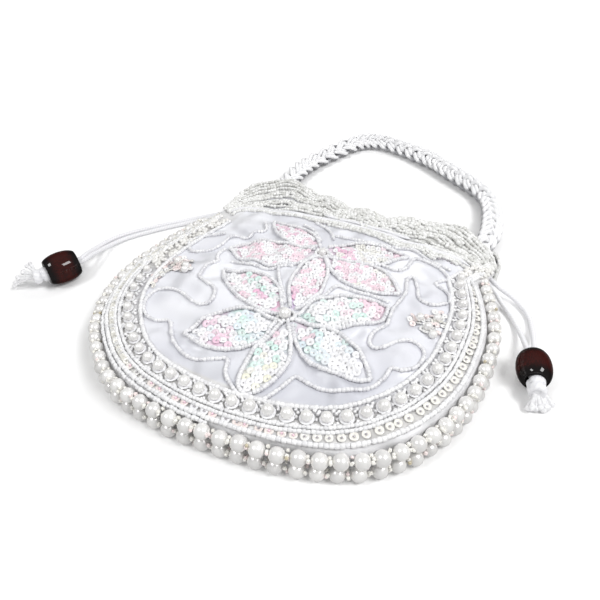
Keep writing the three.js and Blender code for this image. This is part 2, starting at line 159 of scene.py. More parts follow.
@dataclass
class Surface:
    """Points in millimetres, faces that index them, and values kept on the points."""

    points: Array
    faces: list[Array]
    values: dict[str, Array] = field(default_factory=dict)

    @staticmethod
    def joined(parts: Sequence[Surface]) -> Surface:
        """One surface made of several, with each part's faces moved on.

        Args:
            parts: Surfaces that keep the same values.

        Returns:
            All of them.
        """
        starts = np.cumsum([0] + [len(p.points) for p in parts])
        faces = [f + s for p, s in zip(parts, starts) for f in p.faces if len(f)]
        keys = parts[0].values.keys()
        values = {k: np.concatenate([p.values[k] for p in parts]) for k in keys}
        return Surface(np.vstack([p.points for p in parts]), faces, values)

    def copied(self, places: Array, frames: Array, sizes: Array, **values: Array) -> Surface:
        """This surface at many places.

        Each point becomes place + frame * (point * size).

        Args:
            places: Where each copy goes, k by 3.
            frames: Columns are each copy's own x, y and z, k by 3 by 3.
            sizes: One size or three for each copy.
            values: A value, or a row of values, for each copy.

        Returns:
            All copies as one surface.
        """
        k, n = len(places), len(self.points)
        sizes = np.broadcast_to(np.asarray(sizes, float).reshape(k, -1), (k, 3))
        local = self.points[None] * sizes[:, None, :]
        points = places[:, None, :] + np.einsum("kij,knj->kni", frames, local)
        shift = (np.arange(k) * n)[:, None, None]
        faces = [(f[None] + shift).reshape(-1, f.shape[1]) for f in self.faces]
        kept = {name: np.repeat(v, n, axis=0) for name, v in values.items()}
        return Surface(points.reshape(-1, 3), faces, kept)

    def as_object(self, name: str, material: Material) -> Object:
        """Puts the surface into the scene in metres, smooth shaded.

        Values of one number become float attributes, values of three numbers become
        colour attributes, and a value named uv becomes the UV map.

        Args:
            name: The new object's name.
            material: Its finish.

        Returns:
            The object, at the origin.
        """
        mesh = bpy.data.meshes.new(name)
        mesh.vertices.add(len(self.points))
        mesh.vertices.foreach_set("co", (self.points * MM).astype(np.float32).ravel())
        corners = np.concatenate([f.ravel() for f in self.faces]).astype(np.int32)
        counts = np.concatenate([np.full(len(f), f.shape[1]) for f in self.faces])
        mesh.loops.add(len(corners))
        mesh.loops.foreach_set("vertex_index", corners)
        mesh.polygons.add(len(counts))
        starts = np.r_[0, np.cumsum(counts)[:-1]].astype(np.int32)
        mesh.polygons.foreach_set("loop_start", starts)
        mesh.update(calc_edges=True)
        for key, data in self.values.items():
            if key == "uv":
                layer = mesh.uv_layers.new(name="UVMap")
                layer.data.foreach_set("uv", data[corners].astype(np.float32).ravel())
            elif data.ndim == 1:
                made = mesh.attributes.new(key, "FLOAT", "POINT")
                made.data.foreach_set("value", data.astype(np.float32))
            else:
                made = mesh.attributes.new(key, "FLOAT_COLOR", "POINT")
                colours = np.c_[data, np.ones(len(data))].astype(np.float32)
                made.data.foreach_set("color", colours.ravel())
        mesh.shade_smooth()
        mesh.materials.append(material)
        obj = bpy.data.objects.new(name, mesh)
        bpy.context.scene.collection.objects.link(obj)
        return obj


def grid_faces(rows: int, columns: int, round_rows: bool = False) -> Array:
    """Quads of a grid of points kept row by row, each row closed on itself.

    Args:
        rows: Number of rows.
        columns: Points in a row.
        round_rows: Whether the last row joins the first.

    Returns:
        Indices of the four corners of each quad.
    """
    r = np.arange(rows if round_rows else rows - 1)[:, None]
    c = np.arange(columns)[None, :]
    r2, c2 = (r + 1) % rows, (c + 1) % columns
    quads = np.stack(np.broadcast_arrays(r * columns + c, r * columns + c2,
                                         r2 * columns + c2, r2 * columns + c), -1)
    return quads.reshape(-1, 4)


def turned(profile: Sequence[Sequence[float]], sides: int, closed_loop: bool = False) -> Surface:
    """A profile of (radius, height) turned round the z axis.

    A profile that starts and ends at radius 0 gets a point at each pole. A closed loop
    makes a ring, such as a sequin with its hole. The profile runs from low to high on
    the outside, so that the faces point outwards.

    Args:
        profile: Rows of radius and height.
        sides: Points round the axis.
        closed_loop: Whether the profile's end joins its start.

    Returns:
        The closed surface.
    """
    p = np.asarray(profile, float)
    a = 2 * np.pi * np.arange(sides) / sides
    rows = p if closed_loop else p[1:-1]
    ring = np.stack([np.cos(a), np.sin(a)], -1)
    points = np.concatenate([
        np.broadcast_to(rows[:, None, :1] * ring[None], (len(rows), sides, 2)),
        np.broadcast_to(rows[:, None, 1:], (len(rows), sides, 1)),
    ], -1).reshape(-1, 3)
    faces = [grid_faces(len(rows), sides, closed_loop)]
    if not closed_loop:
        low, high = len(points), len(points) + 1
        points = np.vstack([points, [0, 0, p[0, 1]], [0, 0, p[-1, 1]]])
        k = np.arange(sides)
        last = (len(rows) - 1) * sides
        faces.append(np.stack([(k + 1) % sides, k, np.full(sides, low)], -1))
        faces.append(np.stack([last + k, last + (k + 1) % sides, np.full(sides, high)], -1))
    return Surface(points, faces)


def ball(sides: int, rings: int) -> Surface:
    """A sphere of radius 1: the turned half circle cut into that many rings."""
    a = np.linspace(-np.pi / 2, np.pi / 2, rings + 1)
    return turned(np.stack([np.cos(a), np.sin(a)], -1), sides)


def oval(wide: Array | float, high: Array | float, turn: Array) -> Array:
    """Sideways and upward reach of an oval section, at turns round it."""
    a = 2 * np.pi * turn
    return np.stack(np.broadcast_arrays(wide * np.cos(a), high * np.sin(a)), -1)


def carried(path: Array, sides: int, section: Callable[[Array, Array], Array],
            hint: Array | None = None) -> Surface:
    """A section carried along a path and closed at both ends.

    Each ring lies across the path. The section gives the sideways and upward reach for
    each share of the way and each turn round. Sideways is square to the path in plan.

    Args:
        path: Points of the middle line.
        sides: Points round the section.
        section: Takes shares (n by 1) and turns (1 by sides), returns n by sides by 2.
        hint: Sideways direction to use instead.

    Returns:
        The closed tube, with UV as millimetres along and turns round.
    """
    line = Path(path)
    way = unit(np.gradient(path, axis=0))
    side = np.stack([-way[:, 1], way[:, 0], np.zeros(len(way))], -1)
    if hint is not None:
        side = hint - way * (way @ hint)[:, None]
    side = unit(side)
    up = np.cross(way, side)
    turn = np.arange(sides)[None, :] / sides
    reach = section(line.run[:, None] / line.length, turn)
    points = path[:, None] + side[:, None] * reach[..., :1] + up[:, None] * reach[..., 1:]
    n = len(path)
    faces = [grid_faces(n, sides)[:, ::-1]]
    k = np.arange(sides)
    nxt, last = (k + 1) % sides, (n - 1) * sides
    tips = np.vstack([points[0].mean(0), points[-1].mean(0)])
    faces.append(np.stack([k, nxt, np.full(sides, n * sides)], -1))
    faces.append(np.stack([last + nxt, last + k, np.full(sides, n * sides + 1)], -1))
    uv = np.stack(np.broadcast_arrays(line.run[:, None], turn), -1).reshape(-1, 2)
    uv = np.vstack([uv, [0, 0], [line.length, 0]])
    return Surface(np.vstack([points.reshape(-1, 3), tips]), faces, {"uv": uv})


def frames_on(axis: Array, hint: Array) -> Array:
    """Frames whose z is an axis and whose x leans towards a hint.

    Args:
        axis: Directions of the z axes, k by 3.
        hint: One direction, or one for each.

    Returns:
        Rotations whose columns are x, y and z, k by 3 by 3.
    """
    z = unit(axis)
    x = unit(hint - z * np.sum(hint * z, -1, keepdims=True))
    return np.stack([x, np.cross(z, x), z], -1)


def inside(points: Array, outline: Array) -> Array:
    """Which plan points lie in a closed outline, by counting crossings to the right.

    Args:
        points: Plan points.
        outline: The outline's points, in order.

    Returns:
        True for each point inside.
    """
    a, b = outline, np.roll(outline, -1, axis=0)
    x, y = points[:, :1], points[:, 1:2]
    spans = (a[:, 1] > y) != (b[:, 1] > y)
    slope = (b[:, 0] - a[:, 0]) / np.where(b[:, 1] == a[:, 1], 1e-9, b[:, 1] - a[:, 1])
    return np.sum(spans & (x < a[:, 0] + (y - a[:, 1]) * slope), axis=1) % 2 == 1


# The bag's shape


@dataclass(frozen=True)
class BagShape:
    """Plan and heights of the bag, in millimetres, as its solids have them."""

    half_width: float = 85.0
    dome_z: float = 18.6
    band_z: float = 13.6
    rim_z: float = 11.4
    seam_z: float = 6.15
    wall_inset: float = 3.3
    middle: Pair = (2.0, 8.0)
    front_row_z: float = 9.3
    back_row_z: float = 3.05
    ruffles: int = 7
    ruffle_height: float = 1.3
    ease_turns: float = 0.05
    crease: float = 0.6
    # Pearl line, x and y as shares of half_width.
    rim: tuple[Pair, ...] = (
        (-0.818, 0.647), (-0.869, 0.518), (-0.922, 0.371), (-0.969, 0.218),
        (-0.999, 0.059), (-1.005, -0.094), (-0.984, -0.259), (-0.929, -0.412),
        (-0.835, -0.547), (-0.712, -0.671), (-0.565, -0.759), (-0.4, -0.814),
        (-0.224, -0.851), (-0.047, -0.871), (0.141, -0.878), (0.318, -0.869),
        (0.482, -0.838), (0.624, -0.772), (0.747, -0.668), (0.849, -0.525),
        (0.927, -0.359), (0.972, -0.182), (0.999, 0.0), (0.994, 0.153),
        (0.967, 0.306), (0.929, 0.447),
    )
    # Free edge at the mouth: x and y as shares of half_width, z of dome_z.
    mouth: tuple[Triple, ...] = (
        (-0.75, 0.756, 0.527), (-0.737, 0.815, 0.548), (-0.729, 0.887, 0.575),
        (-0.713, 0.96, 0.61), (-0.683, 1.03, 0.656), (-0.635, 1.1, 0.71),
        (-0.562, 1.154, 0.753), (-0.47, 1.172, 0.766), (-0.328, 1.138, 0.768),
        (-0.22, 1.082, 0.776), (-0.11, 1.019, 0.785), (-0.02, 0.972, 0.796),
        (0.075, 0.936, 0.806), (0.194, 0.905, 0.806), (0.326, 0.88, 0.806),
        (0.449, 0.882, 0.806), (0.545, 0.904, 0.806), (0.624, 0.912, 0.806),
        (0.686, 0.9, 0.796), (0.747, 0.878, 0.78), (0.808, 0.845, 0.763),
        (0.87, 0.798, 0.72), (0.927, 0.736, 0.656), (0.96, 0.65, 0.59),
        (0.972, 0.56, 0.548),
    )
    # Line of the drawstring's casing, the same shares.
    casing: tuple[Triple, ...] = (
        (-0.75, 0.74, 0.527), (-0.66, 0.77, 0.581), (-0.562, 0.776, 0.634),
        (-0.427, 0.779, 0.677), (-0.291, 0.777, 0.715), (-0.154, 0.766, 0.753),
        (-0.019, 0.747, 0.78), (0.112, 0.723, 0.796), (0.242, 0.695, 0.806),
        (0.368, 0.666, 0.806), (0.489, 0.636, 0.806), (0.608, 0.601, 0.796),
        (0.726, 0.558, 0.763), (0.811, 0.529, 0.71), (0.895, 0.506, 0.634),
        (0.945, 0.49, 0.581),
    )

    def __post_init__(self) -> None:
        """Works out the lookups round the middle once."""
        put = object.__setattr__
        shares = np.array([self.half_width, self.half_width, self.dome_z])
        line = Path(smooth_line(np.array(self.rim) * self.half_width))
        put(self, "rim_path", line)
        edge = smooth_line(np.array(self.mouth) * shares)
        casing = smooth_line(np.array(self.casing) * shares)
        run = np.linspace(0, line.length, 181)
        place, way = line.at(run), line.along(run)
        inset = place + np.stack([-way[:, 1], way[:, 0]], -1) * self.wall_inset
        outline = np.vstack([inset, edge[::-1, :2]])
        put(self, "_edge", self._sorted(outline, np.linalg.norm(outline - self.middle, axis=1)))
        put(self, "_edge_z", self._sorted(edge, edge[:, 2]))
        reach = np.linalg.norm(casing[:, :2] - self.middle, axis=1)
        put(self, "_casing", self._sorted(casing, reach))
        put(self, "_casing_z", self._sorted(casing, casing[:, 2]))
        put(self, "mouth_from", float(self.turn_of(*edge[-1, :2])))
        put(self, "mouth_to", float(self.turn_of(*edge[0, :2])))

    def turn_of(self, x: Array, y: Array) -> Array:
        """Turns round the middle, from 0 to 1, starting at +X towards +Y."""
        angle = np.arctan2(y - self.middle[1], x - self.middle[0])
        return np.mod(angle / (2 * np.pi), 1.0)

    def _sorted(self, points: Array, values: Array) -> tuple[Array, Array]:
        """Puts a line's points in the order of their turns.

        Args:
            points: Points of the line.
            values: A value for each.

        Returns:
            Turns and values.
        """
        turn = self.turn_of(points[:, 0], points[:, 1])
        order = np.argsort(turn)
        return turn[order], np.asarray(values)[order]

    def edge(self, turn: Array) -> Array:
        """Distance from the middle to the cloth's edge."""
        return np.interp(np.mod(turn, 1.0), *self._edge)

    def past_mouth(self, turn: Array) -> Array:
        """Turns past the nearer corner of the mouth, below 0 inside the mouth."""
        turn = np.mod(turn, 1.0)
        return np.maximum(self.mouth_from - turn, turn - self.mouth_to)

    def mouth_share(self, turn: Array) -> Array:
        """Share of the mouth from its right corner, 0, to its left, 1."""
        span = self.mouth_to - self.mouth_from
        return (np.mod(turn, 1.0) - self.mouth_from) / span

    def rimness(self, turn: Array) -> Array:
        """1 where the panels meet at the pearls, 0 along the mouth."""
        return ease(self.past_mouth(turn), 0.006, 0.014)

    def eased_rim(self, turn: Array) -> Array:
        """The same change, drawn out along the cloth."""
        return ease(self.past_mouth(turn), -self.ease_turns, self.ease_turns)

    def corner(self, turn: Array) -> Array:
        """1 in the mouth's middle, 0 towards both its corners."""
        m = self.mouth_share(turn)
        return ease(m, -0.02, 0.24) * (1 - ease(m, 0.72, 0.96))

    def band(self, turn: Array) -> Array:
        """Where the border or the casing lies.

        Args:
            turn: Turns round the middle.

        Returns:
            Shares of the way out.
        """
        turn = np.mod(turn, 1.0)
        mouth = np.minimum(np.interp(turn, *self._casing) / self.edge(turn), 0.93)
        return between(mouth, 0.87, self.eased_rim(turn))

    def front(self, turn: Array, share: Array) -> Array:
        """Height of the front's outer side.

        From the middle to the band it is a flattened dome, (1 - q^2)^0.85. Outside
        it, it falls to the rim along the pearls, and along the mouth it swells and
        waves.

        Args:
            turn: Turns round the middle.
            share: Share of the way out to the edge.

        Returns:
            Heights.
        """
        turn = np.mod(turn, 1.0)
        shut, band = self.eased_rim(turn), self.band(turn)
        band_z = between(np.interp(turn, *self._casing_z), self.band_z, shut)
        edge_z = between(np.interp(turn, *self._edge_z), self.rim_z, shut)
        q = np.clip(share / band, 0, 1)
        inner = band_z + (self.dome_z - band_z) * (1 - q * q) ** 0.85
        out = np.clip((share - band) / (1 - band), 0, 1)
        wave = np.sin(self.ruffles * 2 * np.pi * self.mouth_share(turn))
        outer = between(band_z, edge_z, out * out * shut + out * (1 - shut))
        lift = 1.1 * np.sin(np.pi * out) + self.ruffle_height * wave * out
        outer = outer + (1 - shut) * self.corner(turn) * lift
        return np.where(share <= band, inner, outer)

    def back_edge(self, turn: Array) -> Array:
        """Distance to the back's edge, whose frill shows at the right corner."""
        bulge = np.exp(-(((self.mouth_share(turn) - 0.13) / 0.08) ** 2))
        return self.edge(turn) + 12 * bulge * (1 - self.rimness(turn))

    def back(self, turn: Array, share: Array) -> Array:
        """Height of the back's underside: flat, with the frill's waves lifted.

        Args:
            turn: Turns round the middle.
            share: Share of the way out to the edge.

        Returns:
            Heights.
        """
        band = self.band(turn)
        out = np.clip((share - band) / (1 - band), 0, None)
        wave = 1 + np.sin(self.ruffles * 2 * np.pi * self.mouth_share(turn) + 2)
        return (1 - self.rimness(turn)) * 0.3 * wave * out

    def plan(self, turn: Array, radius: Array) -> Array:
        """Plan points at turns and distances from the middle."""
        a = 2 * np.pi * turn
        return self.middle + radius[..., None] * np.stack([np.cos(a), np.sin(a)], -1)

    def folds(self, plan: Array, share: Array) -> Array:
        """Soft creases of the satin field, as sines across slanted, bent directions.

        Args:
            plan: Plan points.
            share: Share of the way out of each.

        Returns:
            Heights to add.
        """
        x, y = plan[..., 0], plan[..., 1]
        bend = 3.0 * np.sin(0.06 * x + 0.05 * y) + 2.0 * np.sin(0.11 * y - 0.04 * x)
        waves = np.sin(0.24 * x + 0.13 * y + bend) + np.sin(0.33 * y - 0.1 * x - bend)
        return self.crease * waves * (1 - ease(share, 0.68, 0.8))

    def front_at(self, plan: Array) -> Array:
        """Height of the creased front.

        Args:
            plan: Plan points.

        Returns:
            Heights.
        """
        turn = self.turn_of(plan[:, 0], plan[:, 1])
        share = np.linalg.norm(plan - self.middle, axis=1) / self.edge(turn)
        return self.front(turn, share) + self.folds(plan, share)

    def on_front(self, plan: Array, lift: float | Array) -> tuple[Array, Array]:
        """Points on the front and its normals there.

        Args:
            plan: Plan points, n by 2.
            lift: Height above the cloth, along the normal.

        Returns:
            The lifted points and the unit normals.
        """
        plan = np.asarray(plan, float)
        z = self.front_at(plan)
        dx = (self.front_at(plan + [1.0, 0]) - self.front_at(plan - [1.0, 0])) / 2
        dy = (self.front_at(plan + [0, 1.0]) - self.front_at(plan - [0, 1.0])) / 2
        slope = np.clip(np.stack([dx, dy], -1), -1.2, 1.2)
        normal = unit(np.c_[-slope, np.ones(len(plan))])
        lift = np.broadcast_to(np.asarray(lift, float), (len(plan),))
        return np.c_[plan, z] + normal * lift[:, None], normal


# Shader expressions


class Value:
    """A socket of a node tree that takes part in Python expressions."""

    def __init__(self, sheet: Sheet, socket: bpy.types.NodeSocket) -> None:
        """Keeps the node tree and the socket."""
        self.sheet, self.socket = sheet, socket

    def _with(self, operation: str, *others: Any) -> Value:
        """A Math node on this value and others."""
        inputs = {i: v for i, v in enumerate((self, *others))}
        return self.sheet.make("ShaderNodeMath", {"operation": operation}, inputs)

    def __add__(self, other: Value | float) -> Value:
        """Sum."""
        return self._with("ADD", other)

    __radd__ = __add__

    def __sub__(self, other: Value | float) -> Value:
        """Difference."""
        return self._with("SUBTRACT", other)

    def __rsub__(self, other: float) -> Value:
        """A number less this value."""
        return self.sheet.make("ShaderNodeMath", {"operation": "SUBTRACT"}, {0: other, 1: self})

    def __mul__(self, other: Value | float) -> Value:
        """Product."""
        return self._with("MULTIPLY", other)

    __rmul__ = __mul__

    def __abs__(self) -> Value:
        """Size without its sign."""
        return self._with("ABSOLUTE")

    def wave(self) -> Value:
        """Sine."""
        return self._with("SINE")

    def eased(self, low: float, high: float) -> Value:
        """0 below low and 1 above high, smoothly between."""
        return self.sheet.make("ShaderNodeMapRange", {"interpolation_type": "SMOOTHSTEP"},
                               {"Value": self, "From Min": low, "From Max": high})


class Sheet:
    """The node tree of one material, filled by Python expressions."""

    def __init__(self, name: str) -> None:
        """Starts a material that holds a Principled shader.

        Args:
            name: The material's name.
        """
        self.material = bpy.data.materials.new(name)
        self.material.use_nodes = True
        self.tree = self.material.node_tree
        self.shader = next(n for n in self.tree.nodes if n.type == "BSDF_PRINCIPLED")

    def make(self, kind: str, settings: dict[str, Any], inputs: dict[Any, Any],
             output: int | str = 0) -> Value:
        """Makes one node.

        Args:
            kind: Its type.
            settings: Its own settings.
            inputs: Values or links, by socket name or number.
            output: The socket that is wanted.

        Returns:
            That socket as a value.
        """
        node = self.tree.nodes.new(kind)
        for key, setting in settings.items():
            setattr(node, key, setting)
        for key, value in inputs.items():
            self._feed(node.inputs[key], value)
        return Value(self, node.outputs[output])

    def _feed(self, socket: bpy.types.NodeSocket, value: Any) -> None:
        """Links a value to a socket or sets it there.

        Args:
            socket: A node's input.
            value: A value of the tree, a number or a colour.
        """
        if isinstance(value, Value):
            self.tree.links.new(value.socket, socket)
        elif isinstance(value, tuple) and len(value) == 3 and socket.type == "RGBA":
            socket.default_value = (*value, 1.0)
        else:
            socket.default_value = value

    def place(self) -> Value:
        """Object coordinates, in metres."""
        return self.make("ShaderNodeTexCoord", {}, {}, "Object")

    def uv(self) -> tuple[Value, Value]:
        """The UV map's two numbers.

        Returns:
            Millimetres along a cord and turns round it.
        """
        both = self.make("ShaderNodeTexCoord", {}, {}, "UV")
        split = self.make("ShaderNodeSeparateXYZ", {}, {0: both}).socket.node
        return Value(self, split.outputs[0]), Value(self, split.outputs[1])

    def noise(self, scale: float, detail: float = 3.0, roughness: float = 0.55,
              at: Value | None = None) -> Value:
        """Fractal noise, around 0.5.

        Args:
            scale: Waves in a metre of Object coordinates, or in a unit of at.
            detail: Finer layers added.
            roughness: Strength of each finer layer.
            at: Coordinates to use instead.

        Returns:
            The noise.
        """
        inputs = {"Vector": at or self.place(), "Scale": scale, "Detail": detail,
                  "Roughness": roughness}
        return self.make("ShaderNodeTexNoise", {}, inputs)

    def kept(self, name: str, output: str = "Fac") -> Value:
        """A value kept on the points."""
        return self.make("ShaderNodeAttribute", {"attribute_name": name}, {}, output)

    def mix(self, a: Any, b: Any, share: Any) -> Value:
        """The colour a share of the way from a to b."""
        return self.make("ShaderNodeMix", {"data_type": "RGBA"}, {0: share, 6: a, 7: b}, 2)

    def facing(self, blend: float = 0.5) -> Value:
        """0 where the surface faces the eye and 1 at its silhouette."""
        return self.make("ShaderNodeLayerWeight", {}, {"Blend": blend}, "Facing")

    def bump(self, height: Value, distance: float, strength: float,
             under: Value | None = None) -> Value:
        """A normal bent by a height.

        Args:
            height: The height, from 0 to 1.
            distance: Metres that a height of 1 stands for.
            strength: How much of the bend is kept.
            under: A normal that is already bent.

        Returns:
            The normal.
        """
        inputs = {"Height": height, "Distance": distance, "Strength": strength}
        if under:
            inputs["Normal"] = under
        return self.make("ShaderNodeBump", {}, inputs)

    def finish(self, **sockets: Any) -> Material:
        """Feeds the shader's sockets.

        Args:
            sockets: Values by socket name, with _ for its spaces.

        Returns:
            The finished material.
        """
        for name, value in sockets.items():
            self._feed(self.shader.inputs[name.replace("_", " ")], value)
        return self.material


# Finishes


@dataclass(frozen=True)
class Satin:
    """Smooth satin with soft creases, whose colour is kept on its points."""

    name: str
    # Colour of the painted shade of soft folds, which slow noise mixes in.
    shade: Triple = (0.60, 0.605, 0.66)
    crease: float = 0.0055
    thread: float = 0.00006

    def made(self) -> Material:
        """The kept colour, darkened by slow noise as painted shade of soft folds; creases and a
        fine weave as bump.

        Returns:
            The material.
        """
        sheet = Sheet(self.name)
        tint = sheet.kept("ground_and_shade", "Color")
        slow, fine = sheet.noise(34.0, 1.0), sheet.noise(2600.0, 1.0)
        creases = sheet.noise(58.0, 1.0, 0.4).eased(0.3, 0.7)
        # Painted shade of soft folds: slow noise darkens the field but not the border.
        share = slow.eased(0.36, 0.62) * (sheet.kept("field") * 0.55)
        folds = sheet.bump(creases, self.crease, 0.6)
        return sheet.finish(Base_Color=sheet.mix(tint, self.shade, share),
                            Roughness=0.31 + fine * 0.12, Specular_IOR_Level=0.7,
                            Sheen_Weight=0.1, Sheen_Roughness=0.4,
                            Normal=sheet.bump(fine, self.thread, 0.5, folds))


@dataclass(frozen=True)
class PearlLacquer:
    """Imitation pearl: a silvery cream layer under a clear lacquer."""

    name: str
    light: Triple = (0.93, 0.92, 0.905)
    dull: Triple = (0.81, 0.80, 0.79)
    # Colour of the painted sheen at the silhouette.
    rim: Triple = (0.99, 0.975, 0.94)

    def made(self) -> Material:
        """Pale body under the lacquer, with a painted warm sheen that makes it lighter at its
        silhouette.

        Returns:
            The material.
        """
        sheet = Sheet(self.name)
        # Painted sheen: the body lightens towards the silhouette.
        rim = sheet.facing(0.35).eased(0.2, 0.9)
        body = sheet.mix(self.light, self.dull, sheet.kept("tone"))
        dimple = sheet.noise(420.0, 2.0)
        return sheet.finish(Base_Color=sheet.mix(body, self.rim, rim),
                            Roughness=0.27 + dimple * 0.08, Metallic=0.3,
                            Coat_Weight=0.7, Coat_Roughness=0.05, IOR=1.55,
                            Normal=sheet.bump(dimple, 0.00003, 0.2))


@dataclass(frozen=True)
class SeedGlass:
    """Opaque white seed beads: slightly uneven glass, each with its own random lightness, or on
    the handle painted shade.
    """

    name: str
    light: Triple = (0.87, 0.87, 0.875)
    dark: Triple = (0.73, 0.73, 0.745)
    roughness: float = 0.26

    def made(self) -> Material:
        """Base colour between two glasses by the value kept on each bead: a random lightness, or
        on the handle painted shade where its strings lie deep.

        Returns:
            The material.
        """
        sheet = Sheet(self.name)
        tone = sheet.kept("tone")
        grain = sheet.noise(900.0, 2.0)
        body = sheet.mix(self.light, self.dark, (tone * 0.8 + grain * 0.25).eased(0.3, 1.1))
        return sheet.finish(Base_Color=body, Roughness=self.roughness + grain * 0.15,
                            Coat_Weight=0.3, Coat_Roughness=0.1, IOR=1.5,
                            Normal=sheet.bump(grain, 0.00005, 0.35))


@dataclass(frozen=True)
class TintedGlass:
    """Clear beads and sequins whose colour is kept on each of them."""

    name: str
    roughness: float = 0.16
    # How much pale sheen is painted at the silhouette, and the colour of that painted sheen.
    painted_sheen: float = 0.5
    rim: Triple = (0.93, 0.93, 0.95)

    def made(self) -> Material:
        """The kept colour with a painted pale sheen towards the silhouette, under a clear coat.

        Returns:
            The material.
        """
        sheet = Sheet(self.name)
        # Painted sheen: lighter towards the silhouette.
        rim = sheet.facing(0.4).eased(0.2, 0.95) * self.painted_sheen
        grain = sheet.noise(1300.0, 1.0)
        return sheet.finish(Base_Color=sheet.mix(sheet.kept("tint", "Color"), self.rim, rim),
                            Roughness=self.roughness + grain * 0.12, Coat_Weight=0.6,
                            Coat_Roughness=0.06, IOR=1.5,
                            Normal=sheet.bump(grain, 0.00004, 0.3))


@dataclass(frozen=True)
class CordSatin:
    """Satin cord: fine threads wound round at a steep slant."""

    name: str
    light: Triple = (0.83, 0.83, 0.85)
    dark: Triple = (0.74, 0.74, 0.77)
    ribs: float = 4.2
    twist: float = 3.0
    depth: float = 0.00008

    def made(self) -> Material:
        """Slanted ribs from the UV map as bump, and as colour with painted shade in the grooves
        between threads.

        Returns:
            The material.
        """
        sheet = Sheet(self.name)
        along, round_ = sheet.uv()
        rib = (along * self.ribs + round_ * (2 * np.pi * self.twist)).wave() * 0.5 + 0.5
        grain = sheet.noise(1500.0, 2.0)
        # Painted shade in the groove of each rib, mixed with uneven grain.
        base = sheet.mix(self.dark, self.light, (rib * 0.6 + grain * 0.8).eased(0.1, 0.9))
        return sheet.finish(Base_Color=base, Roughness=0.34 + grain * 0.2,
                            Sheen_Weight=0.1, Sheen_Roughness=0.35,
                            Normal=sheet.bump(rib + grain * 0.5, self.depth, 0.5))


@dataclass(frozen=True)
class LacqueredWood:
    """Dark mahogany under thick lacquer, near black at both ends."""

    name: str
    heart: Triple = (0.040, 0.0035, 0.002)
    vein: Triple = (0.022, 0.003, 0.002)
    char: Triple = (0.0025, 0.001, 0.001)

    def made(self) -> Material:
        """Grain drawn out along the bead; the lacquer's shine fades at its silhouette.

        Returns:
            The material.
        """
        sheet = Sheet(self.name)
        ends, turn = sheet.kept("ends"), sheet.kept("round")
        at = sheet.make("ShaderNodeCombineXYZ", {}, {0: ends * 1.2, 1: turn * 7.0})
        grain = sheet.noise(3.0, 5.0, 0.6, at)
        dark = (abs(ends) + (grain - 0.5) * 0.6).eased(0.3, 0.85)
        warm = sheet.mix(self.heart, self.vein, grain.eased(0.35, 0.65))
        clear = 1.0 - sheet.facing().eased(0.15, 0.55) * 0.94
        return sheet.finish(Base_Color=sheet.mix(warm, self.char, dark),
                            Roughness=0.1 + grain * 0.06, IOR=1.42,
                            Specular_IOR_Level=0.04, Coat_Weight=clear,
                            Coat_Roughness=0.02, Coat_IOR=1.42)


@dataclass(frozen=True)
class FrayedThread:
    """Sealed, frayed cord ends."""

    name: str
    dark: Triple = (0.72, 0.72, 0.735)
    light: Triple = (0.88, 0.88, 0.89)

    def made(self) -> Material:
        """Milky white in two tones.

        Returns:
            The material.
        """
        sheet = Sheet(self.name)
        grain = sheet.noise(1100.0, 3.0)
        base = sheet.mix(self.dark, self.light, grain.eased(0.3, 0.7))
        return sheet.finish(Base_Color=base, Roughness=0.3 + grain * 0.3,
                            Normal=sheet.bump(grain, 0.0001, 0.5))


@dataclass(frozen=True)
class Paper:
    """The plain pale floor."""

    name: str = "floor_paper"

    def made(self) -> Material:
        """Matt white that glows more and more away from the bag, beyond the lamps.

        Returns:
            The material.
        """
        sheet = Sheet(self.name)
        away = sheet.make("ShaderNodeVectorMath", {"operation": "LENGTH"},
                          {0: sheet.place()}, "Value")
        glow = sheet.mix((0.03, 0.03, 0.03), (0.6, 0.6, 0.6), away.eased(0.14, 0.42))
        return sheet.finish(Base_Color=(0.93, 0.93, 0.93), Roughness=0.9,
                            Specular_IOR_Level=0.1, Emission_Color=glow,
                            Emission_Strength=1.0)


class Tint(Enum):
    """Colours of the sequins, clear beads and cloth, painted shade among them."""

    WHITE = (0.93, 0.93, 0.95)
    CREAM = (0.86, 0.845, 0.79)
    PINK = (0.91, 0.66, 0.76)
    ROSE = (0.86, 0.46, 0.66)
    LILAC = (0.76, 0.56, 0.86)
    MINT = (0.64, 0.87, 0.80)
    ICE = (0.76, 0.86, 0.92)
    LEMON = (0.93, 0.92, 0.76)
    BLUSH = (0.90, 0.78, 0.76)
    OLIVE = (0.56, 0.50, 0.36)
    # Painted shade: dark grey for sequin holes and for the gap by the casing.
    PAINTED_GAP_SHADE = (0.42, 0.40, 0.42)
    MILK = (0.88, 0.88, 0.87)
    FIELD = (0.84, 0.845, 0.88)
    # Painted shade: the field darkens to this towards its front edge.
    LOW_PAINTED_SHADE = (0.55, 0.56, 0.605)
    EDGE = (0.80, 0.80, 0.815)
    GROUND = (0.62, 0.61, 0.6)
    FRILL = (0.58, 0.58, 0.565)


